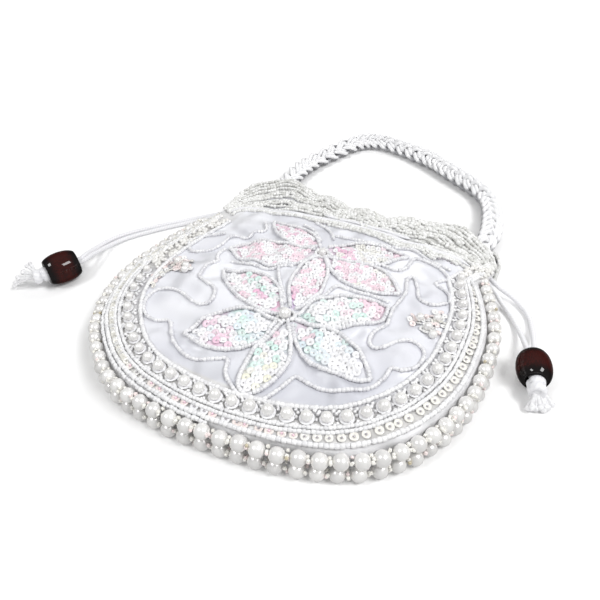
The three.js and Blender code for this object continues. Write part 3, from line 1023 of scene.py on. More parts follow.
class Finishes:
    """Every finish, made once."""

    def __init__(self) -> None:
        """Makes them all."""
        self.satin = Satin("front_satin").made()
        self.back_satin = Satin("back_satin").made()
        self.pearl = PearlLacquer("pearl_lacquer").made()
        self.seed = SeedGlass("seed_glass").made()
        self.frill_seed = SeedGlass("frill_glass", (0.84, 0.84, 0.83), (0.64, 0.64, 0.615)).made()
        self.cream_seed = SeedGlass("cream_glass", (0.88, 0.87, 0.85), (0.72, 0.71, 0.68)).made()
        self.grey_seed = SeedGlass("grey_glass", (0.83, 0.83, 0.845), (0.66, 0.66, 0.69)).made()
        # On the handle the dark glass is painted shade deep in the plait.
        self.braid = SeedGlass("braid_strings_painted_shade", (0.87, 0.87, 0.88), (0.3, 0.3, 0.32), 0.4).made()
        self.tinted = TintedGlass("tinted_glass").made()
        self.sequin = TintedGlass("sequin_film", 0.14, 0.35).made()
        self.cord = CordSatin("cord_satin").made()
        self.wood = LacqueredWood("lacquered_wood").made()
        self.fray = FrayedThread("frayed_thread").made()


# Pieces


def on_bag(made: Surface, name: str, finish: Material, slot: str = "front_satin",
           *nodes: str) -> Object:
    """Puts a piece on the bag's body.

    Args:
        made: Its surface.
        name: Its name.
        finish: Its finish.
        slot: Its material slot; not used.
        nodes: The solids that it stands for.

    Returns:
        The piece.
    """
    obj = made.as_object(name, finish)
    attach(obj, "root")
    if nodes:
        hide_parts(*nodes)
    LOG.info("%s: %d faces", name, len(obj.data.polygons))
    return obj


@dataclass
class Cloth:
    """The two satin panels, as closed sheets."""

    shape: BagShape
    finishes: Finishes
    around: int = 420
    pleats: int = 46
    pleat_height: float = 0.22
    front_thick: float = 1.5
    back_thick: float = 1.6
    hem_turns: float = 0.015

    def relief(self, plan: Array, share: Array, turn: Array) -> Array:
        """Creases of the satin field and pleats of the frill.

        The pleats are a sine along the mouth that grows from the casing to the edge.

        Args:
            plan: Plan points.
            share: Share of the way out.
            turn: Turns round the middle.

        Returns:
            Heights to add.
        """
        band = self.shape.band(turn)
        out = np.clip((share - band) / (1 - band), 0, 1)
        along = self.shape.mouth_share(turn)
        pleat = np.sin(2 * np.pi * self.pleats * along) * out * self.pleat_height
        return self.shape.folds(plan, share) + pleat * (1 - self.shape.eased_rim(turn))

    def _closed(self, rows: list[Array], low_tip: Array, high_tip: Array) -> Surface:
        """A sheet through closed rows of points, with a fan at both tips.

        Args:
            rows: Rows of points round the middle.
            low_tip: The point that the first row closes on.
            high_tip: The point that the last row closes on.

        Returns:
            The sheet, with its colours, painted shade among them, and how much of the satin's
            painted fold shade it takes.
        """
        n = self.around
        points = np.vstack([*rows, low_tip, high_tip])
        k = np.arange(n)
        nxt, last = (k + 1) % n, (len(rows) - 1) * n
        top, end = len(rows) * n, len(rows) * n + 1
        faces = [grid_faces(len(rows), n)[:, ::-1],
                 np.stack([k, nxt, np.full(n, top)], -1),
                 np.stack([last + nxt, last + k, np.full(n, end)], -1)]
        turn = self.shape.turn_of(points[:, 0], points[:, 1])
        away = np.linalg.norm(points[:, :2] - self.shape.middle, axis=1)
        # How much of the satin's painted fold shade each point takes: all of it in the field, none
        # towards the rim.
        fold_shade_share = 1 - ease(away / self.shape.edge(turn), 0.8, 0.93)
        return Surface(points, faces, {"ground_and_shade": ground_of(self.shape, points),
                                       "field": fold_shade_share})

    def turns(self) -> Array:
        """Turns of the columns, closer together along the mouth.

        Returns:
            The turns.
        """
        half = self.around // 2
        start = self.shape.mouth_from - self.hem_turns
        end = self.shape.mouth_to + self.hem_turns
        return np.r_[np.linspace(start, end, half, endpoint=False),
                     np.linspace(end, start + 1, self.around - half, endpoint=False)]

    def top(self, turn: Array, share: float) -> Array:
        """Points of the front's outer side, with its creases and pleats.

        Args:
            turn: Turns round the middle.
            share: Share of the way out to the edge.

        Returns:
            The points.
        """
        s, whole = self.shape, np.full(turn.shape, share)
        plan = s.plan(turn, whole * s.edge(turn))
        return np.c_[plan, s.front(turn, whole) + self.relief(plan, whole, turn)]

    def front(self) -> Object:
        """The domed front with its wall and frill, outer side then inner side.

        Returns:
            The front.
        """
        s, turn = self.shape, self.turns()
        edge, shut = s.edge(turn), s.rimness(turn)
        brim, thick = self.top(turn, 1.0)[:, 2], np.array([0, 0, self.front_thick])

        def wall(inset: float, z_rim: float, drop: float) -> Array:
            """A row of the side wall, which is only a hem along the mouth."""
            return np.c_[s.plan(turn, edge - inset), between(brim - drop, z_rim, shut)]

        steps = np.r_[np.linspace(0.02, 0.8, 44), np.linspace(0.815, 0.985, 18)]
        rows = [self.top(turn, v) for v in steps]
        rows += [wall(0.35, s.rim_z - 0.12, 0.05), wall(0.0, s.rim_z - 0.7, 0.4),
                 wall(-0.25, 9.4, 0.8), wall(-0.1, 7.6, 1.1), wall(0.0, s.seam_z, 1.4),
                 wall(1.5, s.seam_z, 1.6), wall(1.7, 8.0, 1.55)]
        rows += [self.top(turn, v) - thick for v in steps[::-2]]
        tip = self.top(np.zeros(1), 0.0)
        obj = on_bag(self._closed(rows, tip, tip - thick), "front_cloth", self.finishes.satin,
                     "front_satin", "front_panel")
        return obj

    def back(self) -> Object:
        """The flat back with its wall and frill, upper side then underside.

        Returns:
            The back.
        """
        s, turn = self.shape, self.turns()
        edge, shut = s.back_edge(turn), s.rimness(turn)

        def row(share: float, lift: float) -> Array:
            """A row of the underside, or of the upper side if lifted."""
            whole = np.full(turn.shape, share)
            return np.c_[s.plan(turn, whole * edge), s.back(turn, whole) + lift]

        def wall(inset: float, z_rim: float, lift: float) -> Array:
            """A row of the side wall."""
            z = s.back(turn, np.ones_like(turn)) + lift
            return np.c_[s.plan(turn, edge - inset), between(z, z_rim, shut)]

        steps = np.r_[np.linspace(0.04, 0.8, 14), np.linspace(0.83, 0.99, 10)]
        rows = [row(v, self.back_thick) for v in steps]
        rows += [wall(1.7, 3.0, 1.55), wall(1.5, s.seam_z - 0.3, 1.4),
                 wall(0.1, s.seam_z - 0.3, 1.1), wall(-0.2, 3.2, 0.8), wall(0.0, 0.7, 0.5),
                 wall(0.4, 0.1, 0.2)]
        rows += [row(v, 0.0) for v in steps[::-1]]
        tips = [np.array([[*s.middle, z]]) for z in (self.back_thick, 0.0)]
        obj = on_bag(self._closed(rows, *tips), "back_cloth", self.finishes.back_satin,
                     "back_satin", "back_panel")
        return obj


def ground_of(shape: BagShape, points: Array) -> Array:
    """Colours of the cloth: lilac field with painted shade towards its front edge, cream border,
    pastel petals, warm frill.

    Args:
        shape: The bag's shape.
        points: Points of the cloth.

    Returns:
        A colour for each.
    """
    plan = points[:, :2]
    turn = shape.turn_of(plan[:, 0], plan[:, 1])
    share = np.linalg.norm(plan - shape.middle, axis=1) / shape.edge(turn)
    shut = shape.eased_rim(turn)[:, None]
    out = ease(share, 0.80, 0.82)[:, None] * (1 - ease(share, 0.965, 0.985))[:, None]
    past = ease(share, shape.band(turn) - 0.01, shape.band(turn) + 0.01)[:, None]
    # Painted shade: the field darkens towards its front edge, where less light falls.
    low = ease(-plan[:, 1] + 0.15 * plan[:, 0], 25, 62)[:, None]
    colour = between(np.array(Tint.FIELD.value), np.array(Tint.LOW_PAINTED_SHADE.value), low)
    colour = between(colour, Tint.GROUND.value, out * shut)
    rim = ease(share, 0.965, 0.985)[:, None] * shut
    colour = between(colour, Tint.EDGE.value, rim)
    colour = between(colour, Tint.FRILL.value, past * (1 - shut))
    upper = points[:, 2] > 9.5
    for petal in PETALS:
        first, second = smooth_line(petal.first, 6), smooth_line(petal.second, 6)
        held = inside(plan, np.vstack([first, second[::-1]])) & upper
        colour[held] = between(petal.tints_at(plan[held]), Tint.WHITE.value, 0.3)
    return colour


@dataclass
class Beader:
    """Sets beads along lines and over areas of the front."""

    shape: BagShape
    seed: int = 5

    def __post_init__(self) -> None:
        """Starts the fixed random numbers and the shared bead shapes."""
        self.random = np.random.default_rng(self.seed)
        self.bead = turned([(0, -0.96), (0.7, -1.0), (1.0, -0.62), (1.0, 0.62), (0.7, 1.0),
                            (0, 0.96)], 7)
        self.pearl = ball(20, 12)
        self.sequin = turned([(0.2, 0.0), (0.6, 0.0), (1.0, 0.16), (0.98, 0.22),
                              (0.58, 0.07), (0.2, 0.07)], 12, closed_loop=True)

    def string(self, line: Path, run: Array, normals: Array,
               size: Triple, spread: float = 0.06) -> Surface:
        """Beads threaded on a line in space.

        Args:
            line: The thread, in three dimensions.
            run: Distances of the beads along it.
            normals: A direction away from the cloth, or one for each.
            size: Three half sizes of the beads, the last one along the thread.
            spread: How much sizes and directions vary.

        Returns:
            All beads, each with its tone.
        """
        k = len(run)
        way = line.along(run) + self.random.normal(0, spread, (k, 3))
        sizes = np.array([size]) * self.random.normal(1, spread, (k, 1)) ** [1, 1, 0.3]
        places = line.at(run) + self.random.normal(0, spread, (k, 3))
        return self.bead.copied(places, frames_on(way, normals), sizes,
                                tone=self.random.uniform(0, 1, k))

    def ways(self, count: int) -> Array:
        """Directions drawn at random."""
        return self.random.normal(0, 1, (count, 3))

    def seeds(self, plan: Array, radius: float, lift: float = 0.7) -> Surface:
        """Single seed beads on the front, lying any way round.

        Args:
            plan: Their middles.
            radius: Their radius.
            lift: Height of their middles above the cloth.

        Returns:
            The beads, each with its tone.
        """
        k = len(plan)
        place, normal = self.shape.on_front(plan, lift)
        frames = frames_on(normal + self.random.normal(0, 0.35, (k, 3)), self.ways(k))
        sizes = self.random.uniform(0.85, 1.1, (k, 1)) * [[radius, radius, 0.72 * radius]]
        return self.bead.copied(place, frames, sizes, tone=self.random.uniform(0, 1, k))

    def stitched(self, plan: Array, pitch: float, radius: float,
                 lift: float = 0.75, spread: float = 0.06) -> Surface:
        """A row of beads sewn end to end along a line of the front.

        Args:
            plan: Chosen plan points, or close ones that are used as they are.
            pitch: Distance from bead to bead.
            radius: Their radius.
            lift: Height of their middles above the cloth, as a share of the radius.
            spread: How much sizes and directions vary.

        Returns:
            The beads, each with its tone.
        """
        smooth = Path(smooth_line(plan, 8)) if len(plan) < 60 else Path(plan)
        flat = smooth.at(np.linspace(0, smooth.length, max(8, int(smooth.length))))
        line = Path(self.shape.on_front(flat, radius * lift)[0])
        run = line.even(pitch)
        normals = self.shape.on_front(line.at(run)[:, :2], 0)[1]
        half = 0.53 * line.length / len(run)
        return self.string(line, run, normals, (radius, radius, half), spread)

    def sequins(self, plan: Array, radius: float, lift: float, lean: Array,
                tints: Array) -> tuple[Surface, Surface]:
        """Sequins on the front and a small knot in each one's hole, darkened as painted shade of
        the hole.

        Args:
            plan: Their middles.
            radius: Their radius.
            lift: Height above the cloth.
            lean: Slope of each in plan, so that neighbours overlap like scales.
            tints: Their colours.

        Returns:
            The sequins and the darkened knot in each hole, with their colours.
        """
        k = len(plan)
        places, normals = self.shape.on_front(plan, lift)
        tilted = normals + np.c_[lean, np.zeros(k)] + self.random.normal(0, 0.05, (k, 3))
        frames = frames_on(tilted, self.ways(k))
        sizes = radius * self.random.normal(1, 0.05, (k, 1))
        cups = self.sequin.copied(places, frames, sizes, tint=tints)
        # Painted shade: each hole's knot is darkened, some more than others, for the shaded hole.
        dark = between(np.array(Tint.PAINTED_GAP_SHADE.value), np.array(Tint.MILK.value),
                       self.random.uniform(0, 0.8, (k, 1)))
        shaded_knots = ball(5, 3).copied(places + normals * 0.02, frames, sizes * 0.22, tint=dark)
        return cups, shaded_knots


@dataclass
class RimPearls:
    """The two rows of pearls round the rim, with small clear beads between them."""

    beader: Beader
    finishes: Finishes
    left: float = 2.65
    bottom: float = 3.1
    right: float = 2.8
    packing: float = 2.3
    jitter: float = 0.16
    # Ends of the pearl line at the mouth's right corner.
    corner: tuple[Pair, ...] = ((78.4, 40.8), (77.6, 43.2), (76.6, 45.6))
    # Clear beads in each gap: how far outwards and upwards.
    spacers: tuple[Pair, ...] = (
        (1.3, 1.1), (0.9, 1.6), (-1.2, 0.8), (-0.3, -1.5))

    def radius_at(self, share: Array) -> Array:
        """Pearl radius, looked up along the row.

        Args:
            share: Share of the way from the left end to the right.

        Returns:
            The radius.
        """
        stops = [0, 0.04, 0.3, 0.45, 0.62, 0.8, 0.96, 1]
        sizes = [1.9, self.left, self.left, self.bottom, self.bottom, self.right,
                 self.right, 2.2]
        return np.interp(share, stops, sizes)

    def row(self, z: float, name: str, node: str, outward: float) -> None:
        """One row of pearls, packed along the pearl line.

        Args:
            z: Height of the row.
            name: The row's name.
            node: The solid that it stands for.
            outward: How far it lies outside the pearl line.
        """
        b = self.beader
        flat = Path(np.vstack([b.shape.rim_path.points, self.corner]))
        way = flat.along(flat.run, 1.5)
        out = np.stack([way[:, 1], -way[:, 0]], -1)
        line = Path(np.c_[flat.points + out * outward, np.full(len(flat.points), z)])
        share = np.linspace(0, 1, 800)
        count = np.cumsum(1 / (self.packing * self.radius_at(share))) * line.length / 800
        k = int(count[-1])
        at = np.interp(np.arange(k) + 0.5, count, share * line.length)
        radius = self.radius_at(at / line.length)[:, None] * b.random.normal(1, 0.02, (k, 1))
        places = line.at(at) + b.random.normal(0, self.jitter, (k, 3)) * [1, 1, 0.6]
        pearls = b.pearl.copied(places, frames_on(b.ways(k), UP), radius,
                                tone=b.random.uniform(0, 1, k))
        on_bag(pearls, name, self.finishes.pearl, "pearl", node)
        self._spacers(line, (at[1:] + at[:-1]) / 2, name)

    def _spacers(self, line: Path, gap: Array, name: str) -> None:
        """The clear beads of one row.

        Args:
            line: The row's middle line.
            gap: Distances of the gaps along it.
            name: The row's name.
        """
        b = self.beader
        way = line.along(gap)
        side = np.stack([way[:, 1], -way[:, 0], np.zeros(len(gap))], -1)
        spots = np.vstack([line.at(gap) + side * a + UP * h for a, h in self.spacers])
        spots = spots + b.random.normal(0, 0.25, spots.shape)
        k = len(spots)
        choice = b.random.uniform(0, 1, (k, 1))
        tints = np.where(choice < 0.06, Tint.OLIVE.value,
                         np.where(choice < 0.25, Tint.BLUSH.value, Tint.CREAM.value))
        size = b.random.uniform(0.62, 0.85, (k, 1)) * [[1, 1, 0.75]]
        lean = np.vstack([way] * len(self.spacers)) + b.random.normal(0, 0.4, (k, 3))
        beads = b.bead.copied(spots, frames_on(lean, UP), size, tint=tints)
        on_bag(beads, name + "_spacers", self.finishes.tinted, "pearl")

    def build(self) -> None:
        """Both rows."""
        shape = self.beader.shape
        self.row(shape.front_row_z, "front_pearls", "rim_pearls_front", 0.0)
        self.row(shape.back_row_z, "back_pearls", "rim_pearls_back", 0.35)


@dataclass
class Border:
    """Bead lines, sequins and pearls between the rim and the satin field."""

    beader: Beader
    finishes: Finishes
    # Shares of the way out of each line, by turns round the middle.
    lines: tuple[tuple[float, float, float, float, float], ...] = (
        # turn, outer line, double line, pearls, inner line
        (0.385, 0.97, 0.935, 0.885, 0.815), (0.46, 0.975, 0.94, 0.893, 0.81),
        (0.50, 0.975, 0.938, 0.888, 0.812), (0.54, 0.972, 0.93, 0.878, 0.81),
        (0.58, 0.97, 0.92, 0.866, 0.805), (0.62, 0.968, 0.92, 0.864, 0.815),
        (0.66, 0.974, 0.928, 0.872, 0.828), (0.70, 0.985, 0.938, 0.885, 0.837),
        (0.74, 0.99, 0.943, 0.89, 0.842), (0.78, 0.99, 0.94, 0.886, 0.835),
        (0.82, 0.986, 0.922, 0.871, 0.82), (0.86, 0.976, 0.905, 0.856, 0.803),
        (0.90, 0.98, 0.91, 0.862, 0.808), (0.94, 0.98, 0.913, 0.862, 0.808),
        (0.98, 0.975, 0.911, 0.858, 0.803), (1.02, 0.967, 0.915, 0.866, 0.815),
        (1.07, 0.955, 0.925, 0.875, 0.82),
    )
    # Bead lines: column above, shift, start, end; then pitch, radius, lift and spread.
    bead_lines: tuple[tuple[float, ...], ...] = (
        (1, 0.0, 0.395, 1.07, 1.8, 1.0, 0.75, 0.06),
        (2, 0.85, 0.395, 1.07, 1.6, 0.85, 0.75, 0.06),
        (2, -0.85, 0.395, 1.07, 1.5, 0.82, 0.75, 0.06),
        (4, 0.0, 0.395, 1.07, 1.7, 0.95, 0.75, 0.06),
        (1, 1.9, 0.44, 0.73, 1.6, 0.85, 0.5, 0.12))
    # Inner pearls: turns and radius.
    pearl_sizes: tuple[tuple[float, ...], ...] = (
        (0.5, 0.6, 0.7, 0.9, 1.0, 1.07), (1.6, 1.9, 2.15, 2.15, 2.0, 1.8))
    pearls_from: float = 0.512
    pearls_to: float = 1.066
    pearl_pitch: float = 6.95
    # Beads round each gap between two pearls: along the line and outwards.
    pearl_seeds: tuple[Pair, ...] = (
        (0, 2.1), (0.9, 2.9), (-0.9, 2.8), (0, -2.0), (1.0, -2.8), (-0.9, -2.9), (0, 0))
    crowd: int = 150
    sequins_from: float = 0.64
    sequin_pitch: float = 4.2
    standing_pitch: float = 1.15

    def line(self, column: int, shift: float = 0.0, start: float = 0.395,
             end: float = 1.07) -> Array:
        """A line of the table.

        Args:
            column: Its column.
            shift: How far it is moved outwards.
            start: Turns where it starts.
            end: Turns where it ends.

        Returns:
            Plan points.
        """
        table = np.array(self.lines)
        turn = np.linspace(start, end, 240)
        share = np.interp(turn, table[:, 0], table[:, column])
        shape = self.beader.shape
        return shape.plan(turn, share * shape.edge(turn) + shift)

    def turn_past(self, plan: Array) -> Array:
        """Turns of plan points, counted on past 1 for those right of the bottom."""
        turn = self.beader.shape.turn_of(plan[:, 0], plan[:, 1])
        return np.where(turn < 0.2, turn + 1, turn)

    def build(self) -> None:
        """All parts of the border."""
        rows = [self.beader.stitched(self.line(*row[:4]), *row[4:]) for row in self.bead_lines]
        on_bag(Surface.joined(rows), "border_lines", self.finishes.seed)
        self._pearls()
        self._clusters()
        self._sequins()

    def _pearls(self) -> None:
        """The inner pearls, each in a pale cup, and the small beads round them."""
        b, f = self.beader, self.finishes
        line = Path(self.line(3, 0, self.pearls_from, self.pearls_to))
        run = line.even(self.pearl_pitch)
        spots, k = line.at(run), len(run)
        radius = np.interp(self.turn_past(spots), *self.pearl_sizes)
        radius = radius * b.random.normal(1, 0.03, k)
        places, normals = b.shape.on_front(spots, radius * 0.95 + 0.25)
        pearls = b.pearl.copied(places, frames_on(b.ways(k), normals), radius[:, None],
                                tone=b.random.uniform(0, 0.6, k))
        on_bag(pearls, "border_pearls", f.pearl, "pearl")
        places, normals = b.shape.on_front(spots, 0.4)
        cups = b.sequin.copied(places, frames_on(normals, b.ways(k)),
                               radius[:, None] * [[1.3, 1.3, 0.9]],
                               tint=np.tile(Tint.WHITE.value, (k, 1)))
        on_bag(cups, "border_cups", f.sequin)
        at = run[:-1] + 0.5 * np.diff(run)
        way = line.along(at)
        side = np.stack([way[:, 1], -way[:, 0]], -1)
        spots = np.vstack([line.at(at) + way * a + side * c for a, c in self.pearl_seeds])
        spots = spots + b.random.normal(0, 0.22, spots.shape)
        on_bag(b.seeds(spots, 0.72, 0.55), "border_seeds", f.seed)

    def _clusters(self) -> None:
        """Crowded small beads where the border narrows at both ends of the mouth."""
        b, shape = self.beader, self.beader.shape
        outer, inner = self.line(1, -1.5, 0.395, 0.515), self.line(4, 1.5, 0.395, 0.515)
        pick = b.random.uniform(0, len(outer) - 1, self.crowd).astype(int)
        left = between(outer[pick], inner[pick], b.random.uniform(0, 1, (self.crowd, 1)))
        turn, share = np.meshgrid(np.linspace(1.0665, 1.0765, 5), np.linspace(0.84, 0.985, 9))
        turn = turn.ravel() + b.random.normal(0, 0.0007, turn.size)
        share = share.ravel() + b.random.normal(0, 0.005, share.size)
        right = shape.plan(turn, share * shape.edge(turn))
        on_bag(b.seeds(np.vstack([left, right]), 0.98, 0.75), "corner_clusters",
               self.finishes.cream_seed)

    def _sequins(self) -> None:
        """Between the outer line and the double line.

        Flat sequins lie along the bottom and the right. On the left they stand on
        edge, one behind the other.
        """
        b, f = self.beader, self.finishes
        line = Path((self.line(1) + self.line(2)) / 2)
        run = line.even(self.sequin_pitch)
        run = run + b.random.normal(0, 0.35, len(run))
        spots = line.at(run)
        turn = self.turn_past(spots)
        spots, turn = spots[turn > self.sequins_from], turn[turn > self.sequins_from]
        k = len(spots)
        low = np.exp(-(((turn - 0.72) / 0.07) ** 2))[:, None]
        pick = b.random.uniform(0, 1, (k, 1))
        colours = between(np.tile(Tint.CREAM.value, (k, 1)),
                          np.where(pick < 0.5, Tint.BLUSH.value, Tint.WHITE.value), low)
        cups, _ = b.sequins(spots, 1.72, 0.35, np.zeros((k, 2)), colours)
        place, normal = b.shape.on_front(spots, 0.6)
        # A bead in each sequin's middle: some pink, the rest dark grey as painted shade of the
        # hole.
        hearts = b.bead.copied(place, frames_on(normal, b.ways(k)), np.full((k, 1), 0.42),
                               tint=np.where((pick < 0.35) & (low > 0.3), Tint.PINK.value,
                                             Tint.PAINTED_GAP_SHADE.value))
        on_bag(hearts, "border_hearts", f.tinted)
        at = line.even(self.standing_pitch)
        spots = line.at(at)
        keep = self.turn_past(spots) < self.sequins_from
        spots, way = spots[keep], line.along(at[keep])
        k = len(spots)
        place, normal = b.shape.on_front(spots, 0.9)
        lean = np.c_[way, np.zeros(k)] * 0.9 + normal * 0.5 + b.random.normal(0, 0.25, (k, 3))
        pick = b.random.uniform(0, 1, (k, 1))
        tints = np.where(pick < 0.6, Tint.CREAM.value, Tint.MILK.value)
        standing = b.sequin.copied(place, frames_on(lean, normal),
                                   b.random.uniform(1.1, 1.35, (k, 1)), tint=tints)
        on_bag(Surface.joined([cups, standing]), "border_sequins", f.sequin)


@dataclass(frozen=True)
class Petal:
    """One petal: its two sides from the flower's middle to its tip, and its colours."""

    first: tuple[Pair, ...]
    second: tuple[Pair, ...]
    tints: tuple[Tint, ...]
    sequin: float = 1.66

    def way(self) -> Array:
        """From the flower's middle to the tip, in plan."""
        return np.array(self.first[-1]) - np.array(self.first[0])

    def tints_at(self, plan: Array) -> Array:
        """Pastel colours, read from the list along the petal in wandering patches.

        Args:
            plan: Plan points.

        Returns:
            A colour for each.
        """
        way = self.way()
        share = (plan - np.array(self.first[0])) @ way / (way @ way)
        x, y = plan[:, 0], plan[:, 1]
        wander = 0.16 * np.sin(0.42 * x + 0.31 * y) + 0.1 * np.sin(0.9 * y - 0.6 * x)
        table = np.array([t.value for t in self.tints])
        at = np.clip(share + wander, 0, 0.9999) * (len(table) - 1)
        low = at.astype(int)
        soft = ease(at - low, 0.25, 0.75)[:, None]
        return between(table[low], table[np.minimum(low + 1, len(table) - 1)], soft)


W, C, P, R, L, M, I, Y = (Tint.WHITE, Tint.CREAM, Tint.PINK, Tint.ROSE, Tint.LILAC, Tint.MINT,
                          Tint.ICE, Tint.LEMON)
PETALS: tuple[Petal, ...] = (
    Petal(((-0.7, -19.6), (-11.3, -17.7), (-19.5, -19.1), (-27.3, -24.5), (-31.0, -31.6),
           (-33.2, -38.1)),
          ((-0.1, -21.1), (-2.3, -31.3), (-6.9, -37.4), (-14.2, -39.9), (-23.6, -40.3),
           (-33.2, -38.1)), (W, M, I, R, W, W)),
    Petal(((3.4, -20.9), (-0.7, -30.9), (-3.4, -39.0), (-4.0, -48.8), (-2.6, -54.9),
           (1.6, -58.4)),
          ((5.0, -21.3), (9.3, -31.1), (11.2, -39.3), (9.6, -47.8), (6.3, -53.7),
           (1.6, -58.4)), (P, W, M, W, Y, W)),
    Petal(((7.0, -19.1), (18.2, -19.1), (26.8, -20.9), (34.3, -26.3), (39.1, -32.6),
           (42.8, -39.1)),
          ((6.9, -22.4), (12.4, -31.7), (20.5, -38.0), (29.0, -40.8), (36.4, -40.8),
           (42.8, -39.1)), (P, M, I, W, W, W)),
    Petal(((7.0, -15.7), (10.5, -5.7), (17.5, -0.1), (26.9, 1.2), (35.2, 1.8), (41.5, 0.4)),
          ((7.8, -18.0), (17.1, -19.4), (25.9, -17.6), (33.9, -13.0), (40.1, -7.3),
           (41.5, 0.4)), (M, W, M, W, P, P)),
    Petal(((-0.1, -16.0), (-9.3, -16.4), (-18.0, -13.7), (-26.7, -7.2), (-32.5, -0.3),
           (-35.6, 5.6)),
          ((-0.2, -13.4), (-5.2, -3.6), (-11.8, 3.7), (-21.1, 6.7), (-29.0, 5.9),
           (-35.6, 5.6)), (W, R, M, P, W, W)),
    Petal(((2.4, -11.7), (-1.5, -1.6), (-3.0, 10.4), (-1.1, 18.9), (2.4, 24.8), (4.6, 28.8)),
          ((4.6, -12.0), (9.1, -5.2), (11.8, 3.4), (11.4, 12.6), (9.0, 20.8), (4.6, 28.8)),
          (L, R, P, W, P, P), 1.45),
    Petal(((0.6, 30.6), (-8.4, 32.7), (-17.1, 32.9), (-26.8, 31.7), (-34.9, 27.9),
           (-39.1, 20.6)),
          ((1.7, 27.1), (-3.8, 18.8), (-13.3, 14.8), (-21.3, 14.1), (-30.3, 15.4),
           (-39.1, 20.6)), (P, P, W, P, P, W), 1.3),
    Petal(((0.9, 33.4), (-5.4, 32.0), (-13.2, 34.1), (-21.0, 39.7), (-26.7, 47.7),
           (-29.6, 55.2)),
          ((1.8, 35.0), (-2.2, 42.3), (-7.3, 46.8), (-14.3, 50.3), (-21.9, 52.6),
           (-29.6, 55.2)), (P, P, P, R, P, P), 1.25),
    Petal(((6.0, 33.6), (13.3, 39.7), (22.2, 43.0), (30.2, 43.7), (37.2, 42.2),
           (43.2, 40.1)),
          ((7.0, 30.0), (15.1, 27.7), (23.1, 27.4), (30.7, 28.7), (37.6, 33.3),
           (43.2, 40.1)), (P, R, C, C, P, P), 1.3),
    Petal(((7.0, 27.5), (16.3, 28.1), (25.8, 26.9), (34.2, 23.9), (39.7, 18.7),
           (44.1, 11.6)),
          ((6.8, 26.2), (12.6, 17.4), (20.6, 11.4), (28.6, 9.7), (35.9, 9.8), (44.1, 11.6)),
          (P, R, P, P, C, P), 1.35),
)


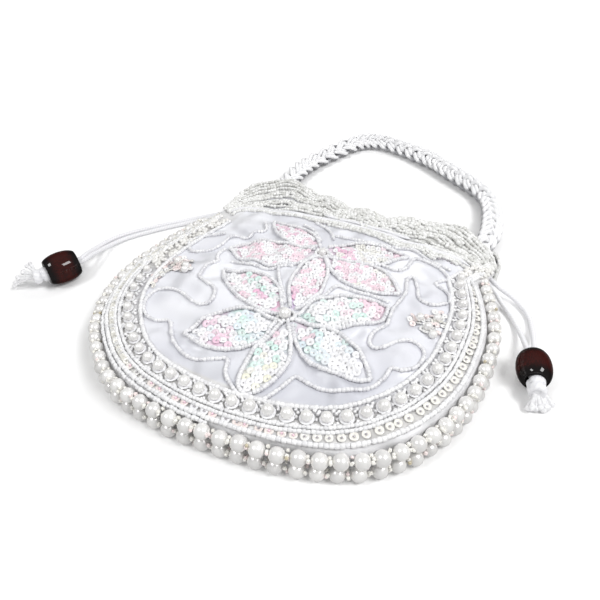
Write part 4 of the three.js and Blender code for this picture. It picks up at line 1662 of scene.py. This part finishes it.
@dataclass
class Blossoms:
    """Two flowers of sequined petals and the scrolls that wander round them."""

    beader: Beader
    finishes: Finishes
    centres: tuple[Pair, ...] = ((3.0, -17.8), (4.4, 28.7))
    # Chosen points of each scroll, in plan.
    scrolls: tuple[tuple[Pair, ...], ...] = (
        ((-41.1, 20.2), (-43.0, 15.3), (-41.0, 10.3), (-44.4, 5.5), (-44.7, -1.3),
         (-39.8, -5.4), (-33.1, -9.3), (-31.1, -15.9), (-34.0, -18.8), (-39.8, -17.8),
         (-47.4, -13.8), (-53.7, -12.5), (-59.5, -15.0), (-60.7, -22.1), (-55.8, -29.8),
         (-49.9, -32.2), (-44.0, -30.7), (-39.5, -37.5), (-33.6, -43.7), (-28.8, -46.6),
         (-23.1, -47.8), (-17.4, -45.8), (-12.2, -43.9), (-9.1, -51.5), (-4.4, -56.0),
         (0.0, -59.3)),
        ((7.2, -58.9), (10.9, -54.3), (16.5, -45.2)),
        ((16.5, -45.2), (20.7, -47.0), (25.8, -48.2), (30.9, -47.7), (36.6, -45.6),
         (43.9, -41.7), (46.9, -36.7), (48.7, -30.1)),
        ((48.7, -30.1), (52.9, -30.2), (57.6, -26.7), (59.3, -19.9), (56.8, -15.5),
         (52.3, -14.7), (48.3, -16.9), (44.8, -21.4), (40.8, -23.3), (37.9, -20.2),
         (38.2, -15.6), (42.3, -9.4), (42.8, -3.6), (43.7, 4.1), (46.3, 13.0), (45.5, 23.5),
         (47.6, 26.0), (50.5, 18.9), (52.8, 11.3), (58.2, 9.8), (64.2, 13.6)),
        ((65.3, 14.5), (63.7, 20.5), (57.7, 25.5), (62.5, 31.9), (60.4, 35.3), (54.9, 38.2),
         (46.8, 40.1), (43.8, 30.6), (39.9, 27.7), (33.2, 29.2)),
        ((8.9, -6.2), (13.2, -0.1), (17.4, 7.0)),
        ((17.4, 7.0), (25.7, 6.2), (34.2, 6.6), (40.5, 5.1)),
        ((-47.6, 34.2), (-55.7, 33.1), (-63.2, 28.9), (-62.9, 23.1), (-57.1, 17.2),
         (-51.4, 19.5), (-45.7, 26.8), (-42.2, 34.3), (-35.7, 35.0), (-34.3, 41.0),
         (-29.8, 45.0), (-32.9, 51.0)),
        ((-11.7, 13.6), (-8.0, 4.7), (-0.2, -10.7)),
        ((0.5, 40.2), (-5.7, 48.9), (-12.4, 53.6)),
        ((6.4, 42.2), (1.6, 51.4), (-7.9, 58.6)),
        ((5.2, 46.3), (13.2, 45.5), (25.6, 46.3), (36.4, 46.8), (47.5, 44.6), (56.7, 39.1),
         (62.7, 37.4)),
        ((-34.9, 12.7), (-25.7, 11.2), (-13.7, 12.3), (-5.5, 15.9)),
    )
    cluster_pearls: tuple[Pair, ...] = (
        (-53.8, 4.2), (-52.9, 0.2), (-59.8, 6.9), (54.5, -1.4), (61.5, 1.6), (58.6, -4.5),
        (60.7, -9.1))
    cluster_zones: tuple[tuple[Pair, ...], ...] = (
        ((-66.0, -12.4), (-67.6, -3.2), (-67.5, 6.6), (-60.9, 14.2), (-53.5, 11.8),
         (-50.2, 4.0), (-52.8, -0.9), (-60.8, 0.2), (-62.0, -5.6), (-62.1, -13.0)),
        ((48.3, -1.5), (53.8, 3.5), (62.6, 8.0), (66.3, 6.4), (64.9, -1.4), (61.7, -9.5),
         (57.2, -7.3), (51.7, -4.5)))

    def fill(self, outline: Array, way: Array, pitch: float, keep: float) -> Array:
        """Points of a honeycomb laid along a direction, well inside an outline.

        Args:
            outline: Closed plan line.
            way: Direction of the honeycomb's rows.
            pitch: Distance between neighbours.
            keep: Share of the outline that is filled.

        Returns:
            Plan points, the far ones first.
        """
        along = way / np.linalg.norm(way)
        frame = np.array([along, [-along[1], along[0]]])
        middle = outline.mean(0)
        local = (outline - middle) @ frame.T
        reach = np.abs(local).max() + pitch
        rows = np.arange(-reach, reach, pitch * 0.866)
        columns = np.arange(-reach, reach, pitch)
        x, y = np.meshgrid(columns, rows)
        x = x + (np.arange(len(rows)) % 2)[:, None] * pitch / 2
        spots = np.stack([x.ravel(), y.ravel()], -1)
        spots = spots + self.beader.random.normal(0, 0.07 * pitch, spots.shape)
        return spots[inside(spots, local * keep)] @ frame + middle

    def build(self) -> None:
        """Petals, flower middles, scrolls and clusters."""
        b, f = self.beader, self.finishes
        rows, pairs = [], []
        for petal in PETALS:
            first, second = smooth_line(petal.first, 10), smooth_line(petal.second, 10)
            outline = np.vstack([first, second[::-1]])
            rows += [b.stitched(side, 1.35, 0.95, 0.9) for side in (first, second)]
            spots = self.fill(outline, petal.way(), 1.78 * petal.sequin, 0.86)
            k = len(spots)
            lean = np.tile([0.07, -0.2], (k, 1)) + b.random.normal(0, 0.05, (k, 2))
            pale = b.random.uniform(0, 1, (k, 1)) < (0.4 if petal.sequin > 1.5 else 0.45)
            mixed = b.random.uniform(0.05, 0.5, (k, 1))
            tints = np.where(pale, Tint.WHITE.value,
                             between(petal.tints_at(spots), np.full(3, 0.92), mixed))
            tints = tints * b.random.uniform(0.9, 1.0, (k, 1))
            pairs.append(b.sequins(spots, petal.sequin, 0.45, lean, tints))
        rows += [b.stitched(np.array(scroll), 1.5, 0.84) for scroll in self.scrolls]
        for zone in self.cluster_zones:
            spots = self.fill(np.array(zone), np.array([0.3, 1.0]), 2.4, 0.95)
            k = len(spots)
            pick = b.random.uniform(0, 1, (k, 1))
            tints = np.where(pick < 0.35, Tint.BLUSH.value,
                             np.where(pick < 0.7, Tint.MILK.value, Tint.CREAM.value))
            pairs.append(b.sequins(spots, 1.3, 0.45, b.random.normal(0, 0.2, (k, 2)), tints))
        cups, shaded_stitches = zip(*pairs)
        on_bag(Surface.joined(rows), "flower_lines", f.grey_seed)
        on_bag(Surface.joined(cups), "flower_sequins", f.sequin)
        # The knot in each sequin's hole carries painted shade.
        on_bag(Surface.joined(shaded_stitches), "sequin_hole_shade", f.tinted)
        self._middles()

    def _middles(self) -> None:
        """A pearl ringed by beads in each flower, and the clusters' pearls."""
        b, f = self.beader, self.finishes
        spots = np.array([*self.centres, *self.cluster_pearls])
        radius = np.r_[2.5, 1.9, np.full(len(self.cluster_pearls), 1.75)]
        place, normal = b.shape.on_front(spots, radius * 0.95)
        k = len(spots)
        pearls = b.pearl.copied(place, frames_on(normal, b.ways(k)), radius[:, None],
                                tone=b.random.uniform(0, 0.6, k))
        on_bag(pearls, "flower_pearls", f.pearl, "pearl")
        a = 2 * np.pi * np.arange(12) / 12
        ring = np.stack([np.cos(a), np.sin(a)], -1)
        around = np.vstack([spots[0] + ring * 3.5, spots[1] + ring * 2.8])
        on_bag(b.seeds(around, 0.95), "flower_rings", f.seed)


@dataclass
class MouthFrill:
    """Gathered rows of seed beads on both frills, and the casing's smooth bands."""

    beader: Beader
    finishes: Finishes
    bead_radius: float = 0.95
    # Long rows of the front, by their share of the way out.
    long_rows: tuple[float, ...] = (0.2, 0.32, 0.44, 0.56, 0.68, 0.79, 0.89, 0.985)
    # Short rows crowded between them: share of the way out, start and end along the mouth.
    short_rows: tuple[Triple, ...] = (
        (0.38, 0.05, 0.3), (0.62, 0.12, 0.36), (0.26, 0.55, 0.9), (0.5, 0.66, 0.93))
    # Rows on the satin just inside the casing: share of its distance, first and last point.
    inner_rows: tuple[tuple[float, int, int], ...] = ((0.936, 8, 225), (0.9, 24, 190))

    def _line(self, out: float, start: float = 0.0, end: float = 1.0) -> Array:
        """Plan points of a row, a share of the way from the casing to the edge.

        The row wanders in and out along the mouth as two sines, less near its corners.

        Args:
            out: Share of the way out.
            start: Share of the mouth where the row starts.
            end: Share of the mouth where it ends.

        Returns:
            The points, from right to left.
        """
        shape = self.beader.shape
        span = shape.mouth_to - shape.mouth_from
        turn = shape.mouth_from + np.clip(np.linspace(start, end, 320), 0.008, 0.992) * span
        m = shape.mouth_share(turn)
        wander = 0.045 * np.sin(2 * np.pi * 6.3 * m + 3 * out) + 0.02 * np.sin(
            2 * np.pi * 15 * m + 11 * out)
        fade = ease(out, 0.0, 0.2) * (1 - ease(out, 0.88, 1.0)) * shape.corner(turn)
        band = shape.band(turn)
        share = band + (1 - band) * np.clip(out + wander * fade, 0.0, 0.985)
        return shape.plan(turn, share * shape.edge(turn))

    def front_rows(self) -> None:
        """The rows on the front's frill."""
        b = self.beader
        parts = [b.stitched(self._line(out), 1.8, self.bead_radius, 0.7, 0.15)
                 for out in self.long_rows]
        parts += [b.stitched(self._line(*row), 1.7, 0.85, 1.1, 0.15) for row in self.short_rows]
        on_bag(Surface.joined(parts), "frill_beads", self.finishes.frill_seed)

    def band(self, line: Array, radius: float) -> Surface:
        """A smooth rounded band laid along a line of the front.

        Args:
            line: Plan points.
            radius: Half its width.

        Returns:
            The band.
        """
        flat = Path(line)
        centre, _ = self.beader.shape.on_front(flat.at(np.linspace(0, flat.length, 200)), 0.8)

        def section(share: Array, turn: Array) -> Array:
            """A flattened oval, thinner at both ends."""
            wide = radius * (0.3 + 0.7 * ease(share, 0, 0.05) * (1 - ease(share, 0.95, 1)))
            return oval(wide, 0.8 * wide, turn)

        return carried(centre, 12, section)

    def casing(self) -> None:
        """Smooth bands along the casing with rows of beads beside them, and a row of dark beads
        just inside as painted shade.
        """
        b, f, middle = self.beader, self.finishes, np.array(self.beader.shape.middle)
        line = self._line(0.0)
        outward = line + 2.9 * unit(line - middle)
        bands = [self.band(line[6:-6], 1.25), self.band(outward[70:200], 0.95)]
        on_bag(Surface.joined(bands), "casing_bands", f.cord)
        # Painted shade: dark beads stand for the shadowed gap along the casing.
        dots = Path(middle + (line[10:215] - middle) * 0.918)
        spots = dots.at(dots.even(2.1))
        k = len(spots)
        place, normal = b.shape.on_front(spots, 0.35)
        dark = b.bead.copied(place, frames_on(normal, b.ways(k)), np.full((k, 1), 0.55),
                             tint=np.tile(Tint.PAINTED_GAP_SHADE.value, (k, 1)))
        on_bag(dark, "casing_shade_dots", f.tinted)
        rows = [b.stitched(middle + (line - middle) * 0.965, 1.7, 0.9, 0.75, 0.12),
                b.stitched(outward[:66], 1.7, 0.9), b.stitched(outward[204:], 1.7, 0.9)]
        rows += [b.stitched(middle + (line[start:end] - middle) * share, 1.7, 0.85, 0.8, 0.12)
                 for share, start, end in self.inner_rows]
        on_bag(Surface.joined(rows), "casing_beads", f.frill_seed)

    def back_rows(self) -> None:
        """The rows on the upper side of the back's frill."""
        b, shape, radius = self.beader, self.beader.shape, self.bead_radius
        turn = np.linspace(shape.mouth_from + 0.004, shape.mouth_to - 0.004, 300)
        band = shape.band(turn)
        parts = []
        for out in np.linspace(0.3, 0.985, 5):
            share = band + (1 - band) * out
            z = shape.back(turn, share) + 1.6 + radius * 0.75
            line = Path(np.c_[shape.plan(turn, share * shape.back_edge(turn)), z])
            parts.append(b.string(line, line.even(1.75), UP, (radius, radius, 0.92)))
        on_bag(Surface.joined(parts), "back_frill_beads", self.finishes.frill_seed, "back_satin")

    def build(self) -> None:
        """All rows and bands."""
        self.front_rows()
        self.casing()
        self.back_rows()


@dataclass
class Braid:
    """The handle: three round bundles of thin bead strings, braided flat."""

    beader: Beader
    finishes: Finishes
    period: float = 21.0
    swing: float = 3.5
    rise: float = 1.9
    string_radius: float = 1.2
    string_pitch: float = 2.15
    bead: float = 2.3
    floor_gap: float = 0.08
    lean: Triple = (0.25, -0.75, 1.0)
    # Strings of a bundle: sideways and upwards, in pitches.
    bundle: tuple[Pair, ...] = ((-0.5, 0.1), (0.5, 0.1), (0.0, -0.6))
    # Middle line from inside the mouth at the left to inside it at the right.
    route: tuple[Triple, ...] = (
        (-33.5, 88, 7), (-37.8, 96, 7), (-40.8, 104, 7), (-42.3, 112, 6.2),
        (-42.5, 120.2, 4.9), (-41.4, 129, 4.8), (-37.6, 142.5, 4.8), (-30.9, 158.3, 4.8),
        (-24.2, 171.2, 4.8), (-17.2, 181.3, 4.8), (-9, 187.2, 4.8), (0, 188.2, 4.8),
        (9, 185.9, 4.8), (18.7, 181.6, 4.8), (29, 175.4, 4.8), (39.4, 167.4, 4.8),
        (49.2, 158.4, 4.8), (58.7, 148.6, 4.8), (67.4, 139.2, 4.8), (74, 130, 4.8),
        (77.9, 118.7, 4.8), (79.2, 106.5, 4.9), (79.1, 94.5, 5.9), (78, 82, 7.1),
        (75.5, 73, 6.8), (71, 65.5, 6.6))

    def build(self) -> None:
        """Each bundle swings sideways as a sine and up and down as the double sine."""
        middle = Path(smooth_line(self.route))
        run = np.linspace(0, middle.length, 620)
        place, way = middle.at(run), middle.along(run, 1.5)
        side = unit(np.cross(np.array(self.lean), way))
        up = np.cross(way, side)
        place = place + [0, 0, 0.25]
        thin = 0.84 + 0.16 * ease(np.minimum(run, middle.length - run), 6, 27)

        def section(share: Array, turn: Array) -> Array:
            """A string of small beads, seen as a waist between one and the next."""
            waist = np.abs(np.sin(np.pi * share * middle.length / self.bead)) ** 0.5
            return oval(*[self.string_radius * (0.78 + 0.22 * waist)] * 2, turn)

        parts = []
        uneven = run + 1.3 * np.sin(run / 9.0) + 0.6 * np.sin(run / 4.7 + 2)
        uneven = uneven - 12 * ease(run, 30, 110)
        for number in range(3):
            phase = 2 * np.pi * (uneven / self.period + number / 3)
            loose = 1 + 0.1 * np.sin(run / 6.1 + 2 * number)
            across = self.swing * np.sin(phase) * thin * loose
            height = self.rise * np.sin(2 * phase) * thin
            core = place + side * across[:, None] + up * height[:, None]
            own = unit(np.gradient(core, axis=0))
            left = unit(np.cross(up, own))
            top = np.cross(own, left)
            for beside, above in self.bundle:
                slack = 0.18 * np.sin(run / 2.7 + 5 * beside + 2 * number)[:, None]
                offset = (left * (beside + slack) + top * (above - slack)) * self.string_pitch
                string = carried(core + offset * thin[:, None], 10, section)
                # Painted shade: each string darkens the lower it lies in the plait.
                away = string.points[:-2].reshape(len(run), 10, 3) - place[:, None]
                level = np.r_[(away * up[:, None]).sum(-1).ravel(), 0, 0]
                string.values = {"tone": 1 - ease(level, -0.4, 2.2)}
                parts.append(string)
        made = Surface.joined(parts)
        made.points[:, 2] += max(0.0, self.floor_gap - made.points[:, 2].min())
        on_bag(made, "handle_braid", self.finishes.braid, "braided_beads", "handle")


@dataclass(frozen=True)
class Toggle:
    """Sizes of one side's wooden bead, its knot and the frayed ends."""

    side: str
    middle: Triple
    heading: float
    radius: float
    length: float
    knot: Triple
    tassel_heading: float
    tassel_reach: float
    tassel_fan: float
    tassel_rise: float
    strand: float
    # Middle line between the two cords and how far apart they run.
    route: tuple[tuple[float, float, float, float], ...]


LEFT = Toggle(
    side="left", middle=(-120.5, -3.5, 7.8), heading=-124.0, radius=7.8, length=15.2,
    knot=(-126.3, -12.1, 7.6), tassel_heading=178.0, tassel_reach=15.0, tassel_fan=25.0,
    tassel_rise=6.0, strand=0.55, route=(
     (-52, 62.5, 7.8, 3), (-60, 65.8, 7.5, 2.8), (-68.6, 67, 5.3, 2.8), (-76.7, 66, 2.9, 2.9),
     (-84.7, 62.4, 1.5, 3), (-93.9, 55.6, 1.3, 3.2), (-102.4, 47.9, 1.3, 3.5),
     (-108.8, 41.8, 1.3, 3.9), (-113.4, 36, 1.4, 4.2), (-115.9, 30.4, 1.8, 4.3),
     (-116.6, 24.4, 2.9, 4.2), (-116.2, 17.8, 4.7, 3.8), (-115.3, 11.4, 6.6, 3.1)))
RIGHT = Toggle(
    side="right", middle=(101.0, -5.9, 6.8), heading=-84.0, radius=6.8, length=13.4,
    knot=(102.0, -15.6, 6.8), tassel_heading=-64.0, tassel_reach=7.4, tassel_fan=40.0,
    tassel_rise=0.6, strand=0.75, route=(
     (71.5, 48.6, 8.2, 3), (79, 46.9, 7.5, 2.9), (85, 43.2, 4.9, 4.2), (91, 38.9, 2.2, 7.4),
     (95.6, 32.2, 1.5, 7.6), (98, 24.6, 1.7, 6.4), (99.2, 16.2, 3.1, 4.8),
     (99.7, 8.2, 5.3, 3.3)))


@dataclass
class Drawstring:
    """One side's two cords, its drilled wooden bead and the knot that holds it."""

    toggle: Toggle
    beader: Beader
    finishes: Finishes
    cord_radius: float = 1.15
    bore_radius: float = 3.2
    gap: float = 0.3
    core: Triple = (2.7, 2.7, 3.3)
    wound_radius: float = 2.35
    strands: int = 8
    # Each turn of the knot: shift along the axis, lean, turns and start.
    turns: tuple[tuple[float, float, float, float], ...] = (
        (-1.75, 0.3, 1.08, 0.9), (1.6, -0.35, 1.08, 3.4))

    def axis(self) -> Array:
        """Direction from the cords through the bead to the knot."""
        a = np.radians(self.toggle.heading)
        return np.array([np.cos(a), np.sin(a), 0.0])

    def cord_path(self, hand: float) -> Array:
        """One cord's middle line: the route moved to its own side, then through the bead.

        Args:
            hand: 1 for the cord on the route's left, -1 for the other.

        Returns:
            Points about 1 mm apart.
        """
        t = self.toggle
        through = np.array([-0.66, -0.4, 0.0, 0.4])[:, None] * t.length * self.axis()
        tail = np.c_[t.middle + through, np.full(4, 2 * self.cord_radius + self.gap + 0.1)]
        route = np.vstack([np.array(t.route, float), tail])
        at, apart = route[:, :3], route[:, 3:]
        ahead = np.vstack([at[1:], at[-1:]]) - np.vstack([at[:1], at[:-1]])
        way = unit(ahead * [1, 1, 0])
        left = np.stack([-way[:, 1], way[:, 0], np.zeros(len(way))], -1)
        line = Path(smooth_line(at + left * hand * apart / 2))
        return line.at(np.linspace(0, line.length, int(line.length) + 1))

    def cord(self, place: str, hand: float, pieces: list[Object]) -> None:
        """One round cord, whose length is logged.

        Args:
            place: Outer or inner.
            hand: 1 for the cord on the route's left, -1 for the other.
            pieces: The pieces at its end; not used.
        """
        points = self.cord_path(hand)

        def section(share: Array, turn: Array) -> Array:
            """A circle."""
            return oval(self.cord_radius, self.cord_radius, turn)

        name = f"{self.toggle.side}_cord_{place}"
        obj = on_bag(carried(points, 14, section), name + "_satin", self.finishes.cord,
                     "cord_satin", name)
        LOG.info("%s: %.1f mm", name, Path(points).length)

    def bead(self) -> Object:
        """The barrel: radius * (0.42 + 0.58 cos(a)^0.8), drilled along its axis.

        Returns:
            The bead.
        """
        t = self.toggle
        half, widest = t.length / 2, np.radians(62)
        a = np.linspace(-widest, widest, 40)
        outer = np.stack([t.radius * (0.42 + 0.58 * np.cos(a) ** 0.8),
                          half * np.sin(a) / np.sin(widest)], -1)
        bore = self.bore_radius
        lip = np.array([[bore, -half + 0.9], [bore + 0.15, -half + 0.35],
                        [bore + 0.55, -half + 0.02]])
        inner = np.stack([np.full(6, bore), np.linspace(half - 1.5, -half + 1.5, 6)], -1)
        profile = np.vstack([lip, outer, lip[::-1] * [1, -1], inner])
        local = turned(profile, 48, closed_loop=True)
        frame = frames_on(self.axis()[None], UP)
        made = local.copied(np.array([t.middle]), frame, np.ones((1, 1)))
        angle = np.arctan2(local.points[:, 1], local.points[:, 0])
        made.values = {"ends": local.points[:, 2] / half, "round": np.sin(angle)}
        return on_bag(made, f"{t.side}_toggle_wood", self.finishes.wood, "toggle_wood",
                      f"{t.side}_toggle_bead")

    def knot(self) -> Object:
        """Broad satin turns wound round a core, one leaning on the other.

        Returns:
            The knot.
        """
        t = self.toggle
        centre, axis = np.array(t.knot), self.axis()
        frame = frames_on(axis[None], UP)
        core = ball(24, 14).copied(centre[None], frame, np.array([self.core]))
        core.values = {"uv": np.zeros((len(core.points), 2))}
        parts = [core]

        def section(share: Array, turn: Array) -> Array:
            """A flattened turn with lengthwise pleats, thinner at both ends."""
            size = 0.6 + 0.4 * ease(share, 0, 0.12) * (1 - ease(share, 0.88, 1))
            pleat = 1 + 0.05 * np.cos(14 * np.pi * turn + 9 * share)
            return oval(1.95 * size * pleat, 1.25 * size * pleat, turn)

        for shift, lean, turns, start in self.turns:
            wound = start + 2 * np.pi * turns * np.linspace(0, 1, 72)
            local = np.stack([self.wound_radius * np.cos(wound), self.wound_radius * np.sin(wound),
                              shift + lean * np.sin(wound)], -1)
            parts.append(carried(centre + local @ frame[0].T, 14, section, axis))
        return on_bag(Surface.joined(parts), f"{t.side}_knot_wrap", self.finishes.cord,
                      "cord_satin", f"{t.side}_knot")

    def ends(self) -> Object:
        """Frayed ends that droop to the floor, each tipped by a small sealed drop.

        Returns:
            The ends.
        """
        t, random, count = self.toggle, self.beader.random, self.strands
        centre = np.array(t.knot)
        parts, tips = [], []

        def section(share: Array, turn: Array) -> Array:
            """A pleated strand, flattened, swelling to its end."""
            size = (t.strand + 0.2 * share) * (1 + 0.08 * np.cos(10 * np.pi * turn))
            return oval(size, 0.7 * size, turn)

        for k, spread in enumerate(np.linspace(-1, 1, count)):
            a = np.radians(t.tassel_heading + spread * t.tassel_fan + random.normal(0, 2))
            out = np.array([np.cos(a), np.sin(a), 0.0])
            reach = t.tassel_reach * random.uniform(0.86, 1.0)
            low = 1.35 + (k % 2) * 0.9 + t.tassel_rise * (1 - spread) / 2
            s = np.linspace(0, 1, 26)[:, None]
            height = (1 - s) ** 2 * centre[2] + 2 * s * (1 - s) * 0.8 * centre[2] + s**2 * low
            curl = np.sin(s * 5 + k) * 0.3
            points = np.hstack([centre[:2] + out[:2] * (1.5 + s * (reach - 1.5)), height])
            points = points + np.hstack([-out[1] * curl, out[0] * curl, 0 * curl])
            parts.append(carried(points, 10, section))
            tips.append(points[-1])
        frames = frames_on(np.tile(UP, (count, 1)), np.array([1.0, 0.0, 0.0]))
        sizes = (t.strand + 0.5) * random.uniform(0.9, 1.2, (count, 1))
        drops = ball(12, 8).copied(np.array(tips), frames, sizes, uv=np.zeros((count, 2)))
        return on_bag(Surface.joined([*parts, drops]), f"{t.side}_frayed_ends",
                      self.finishes.fray, "cord_satin")

    def build(self) -> None:
        """The bead, knot and ends first, then both cords."""
        bead, knot, ends = self.bead(), self.knot(), self.ends()
        outer_hand = -1 if self.toggle.side == "left" else 1
        self.cord("outer", outer_hand, [bead, knot, ends])
        self.cord("inner", -outer_hand, [])


# Studio


@dataclass(frozen=True)
class Lamp:
    """A rectangular soft light: its place and sides in metres, and its watts."""

    name: str
    place: Triple
    sides: Pair
    power: float
    glossy: bool = True

    def build(self) -> None:
        """Hangs it and points it at the bag."""
        data = bpy.data.lights.new(self.name, "AREA")
        data.shape, data.size, data.size_y = "RECTANGLE", *self.sides
        data.energy = self.power
        obj = bpy.data.objects.new(self.name, data)
        bpy.context.scene.collection.objects.link(obj)
        obj.visible_glossy = self.glossy
        obj.location = self.place
        way = Vector((0, 0.03, 0)) - Vector(self.place)
        obj.rotation_euler = way.to_track_quat("-Z", "Y").to_euler()


@dataclass(frozen=True)
class Studio:
    """Floor, lights and camera."""

    eye: Triple = (63.86, -173.44, 166.41)
    right: Triple = (0.949, 0.3135, -0.0232)
    up: Triple = (-0.184, 0.613, 0.768)
    lens: float = 32.849
    sky: float = 0.36
    floor_half: float = 3000.0
    lamps: tuple[Lamp, ...] = (
        Lamp("right_box", (0.54, -0.1, 0.68), (0.4, 0.26), 4.3),
        Lamp("left_box", (-0.39, -0.34, 0.73), (0.3, 0.2), 2.5),
        Lamp("back_box", (0.15, 0.75, 0.7), (0.7, 0.4), 3.1, glossy=False),
        Lamp("front_strip", (-0.1, -1.0, 0.4), (0.9, 0.3), 0.5, glossy=False))

    def floor(self) -> None:
        """A wide plane just under the bag."""
        corners = np.array([[-1, -1, 0], [1, -1, 0], [1, 1, 0], [-1, 1, 0]]) * self.floor_half
        obj = Surface(corners, [np.array([[0, 1, 2, 3]])]).as_object("table_top", Paper().made())
        obj.visible_glossy = False

    def camera(self) -> None:
        """The camera at the photograph's angle."""
        data = bpy.data.cameras.new("camera")
        data.lens, data.sensor_width, data.sensor_fit = self.lens, 36.0, "HORIZONTAL"
        data.clip_start, data.clip_end = 0.01, 20.0
        obj = bpy.data.objects.new("camera", data)
        bpy.context.scene.collection.objects.link(obj)
        right, up = Vector(self.right).normalized(), Vector(self.up)
        up = (up - right * up.dot(right)).normalized()
        back = right.cross(up)
        turn = Matrix((right, up, back)).transposed().to_4x4()
        obj.matrix_world = Matrix.Translation(Vector(self.eye) * MM) @ turn
        bpy.context.scene.camera = obj

    def build(self) -> None:
        """Everything round the bag."""
        self.camera()
        self.floor()
        world = bpy.data.worlds.new("studio")
        bpy.context.scene.world = world
        world.use_nodes = True
        light = world.node_tree.nodes["Background"].inputs
        light["Color"].default_value = (1, 1, 1, 1)
        light["Strength"].default_value = self.sky
        for lamp in self.lamps:
            lamp.build()
        view = bpy.context.scene.view_settings
        view.view_transform = "Standard"
        view.look = "None"


def main() -> None:
    """Builds the classes in order and reports each piece."""
    logging.basicConfig(level=logging.INFO, format="%(message)s", force=True)
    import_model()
    shape, finishes = BagShape(), Finishes()
    Studio().build()
    beader = Beader(shape)
    for toggle in (LEFT, RIGHT):
        Drawstring(toggle, beader, finishes).build()
    cloth = Cloth(shape, finishes)
    cloth.back()
    cloth.front()
    RimPearls(beader, finishes).build()
    Border(beader, finishes).build()
    Blossoms(beader, finishes).build()
    MouthFrill(beader, finishes).build()
    Braid(beader, finishes).build()


if __name__ == "__main__":
    main()
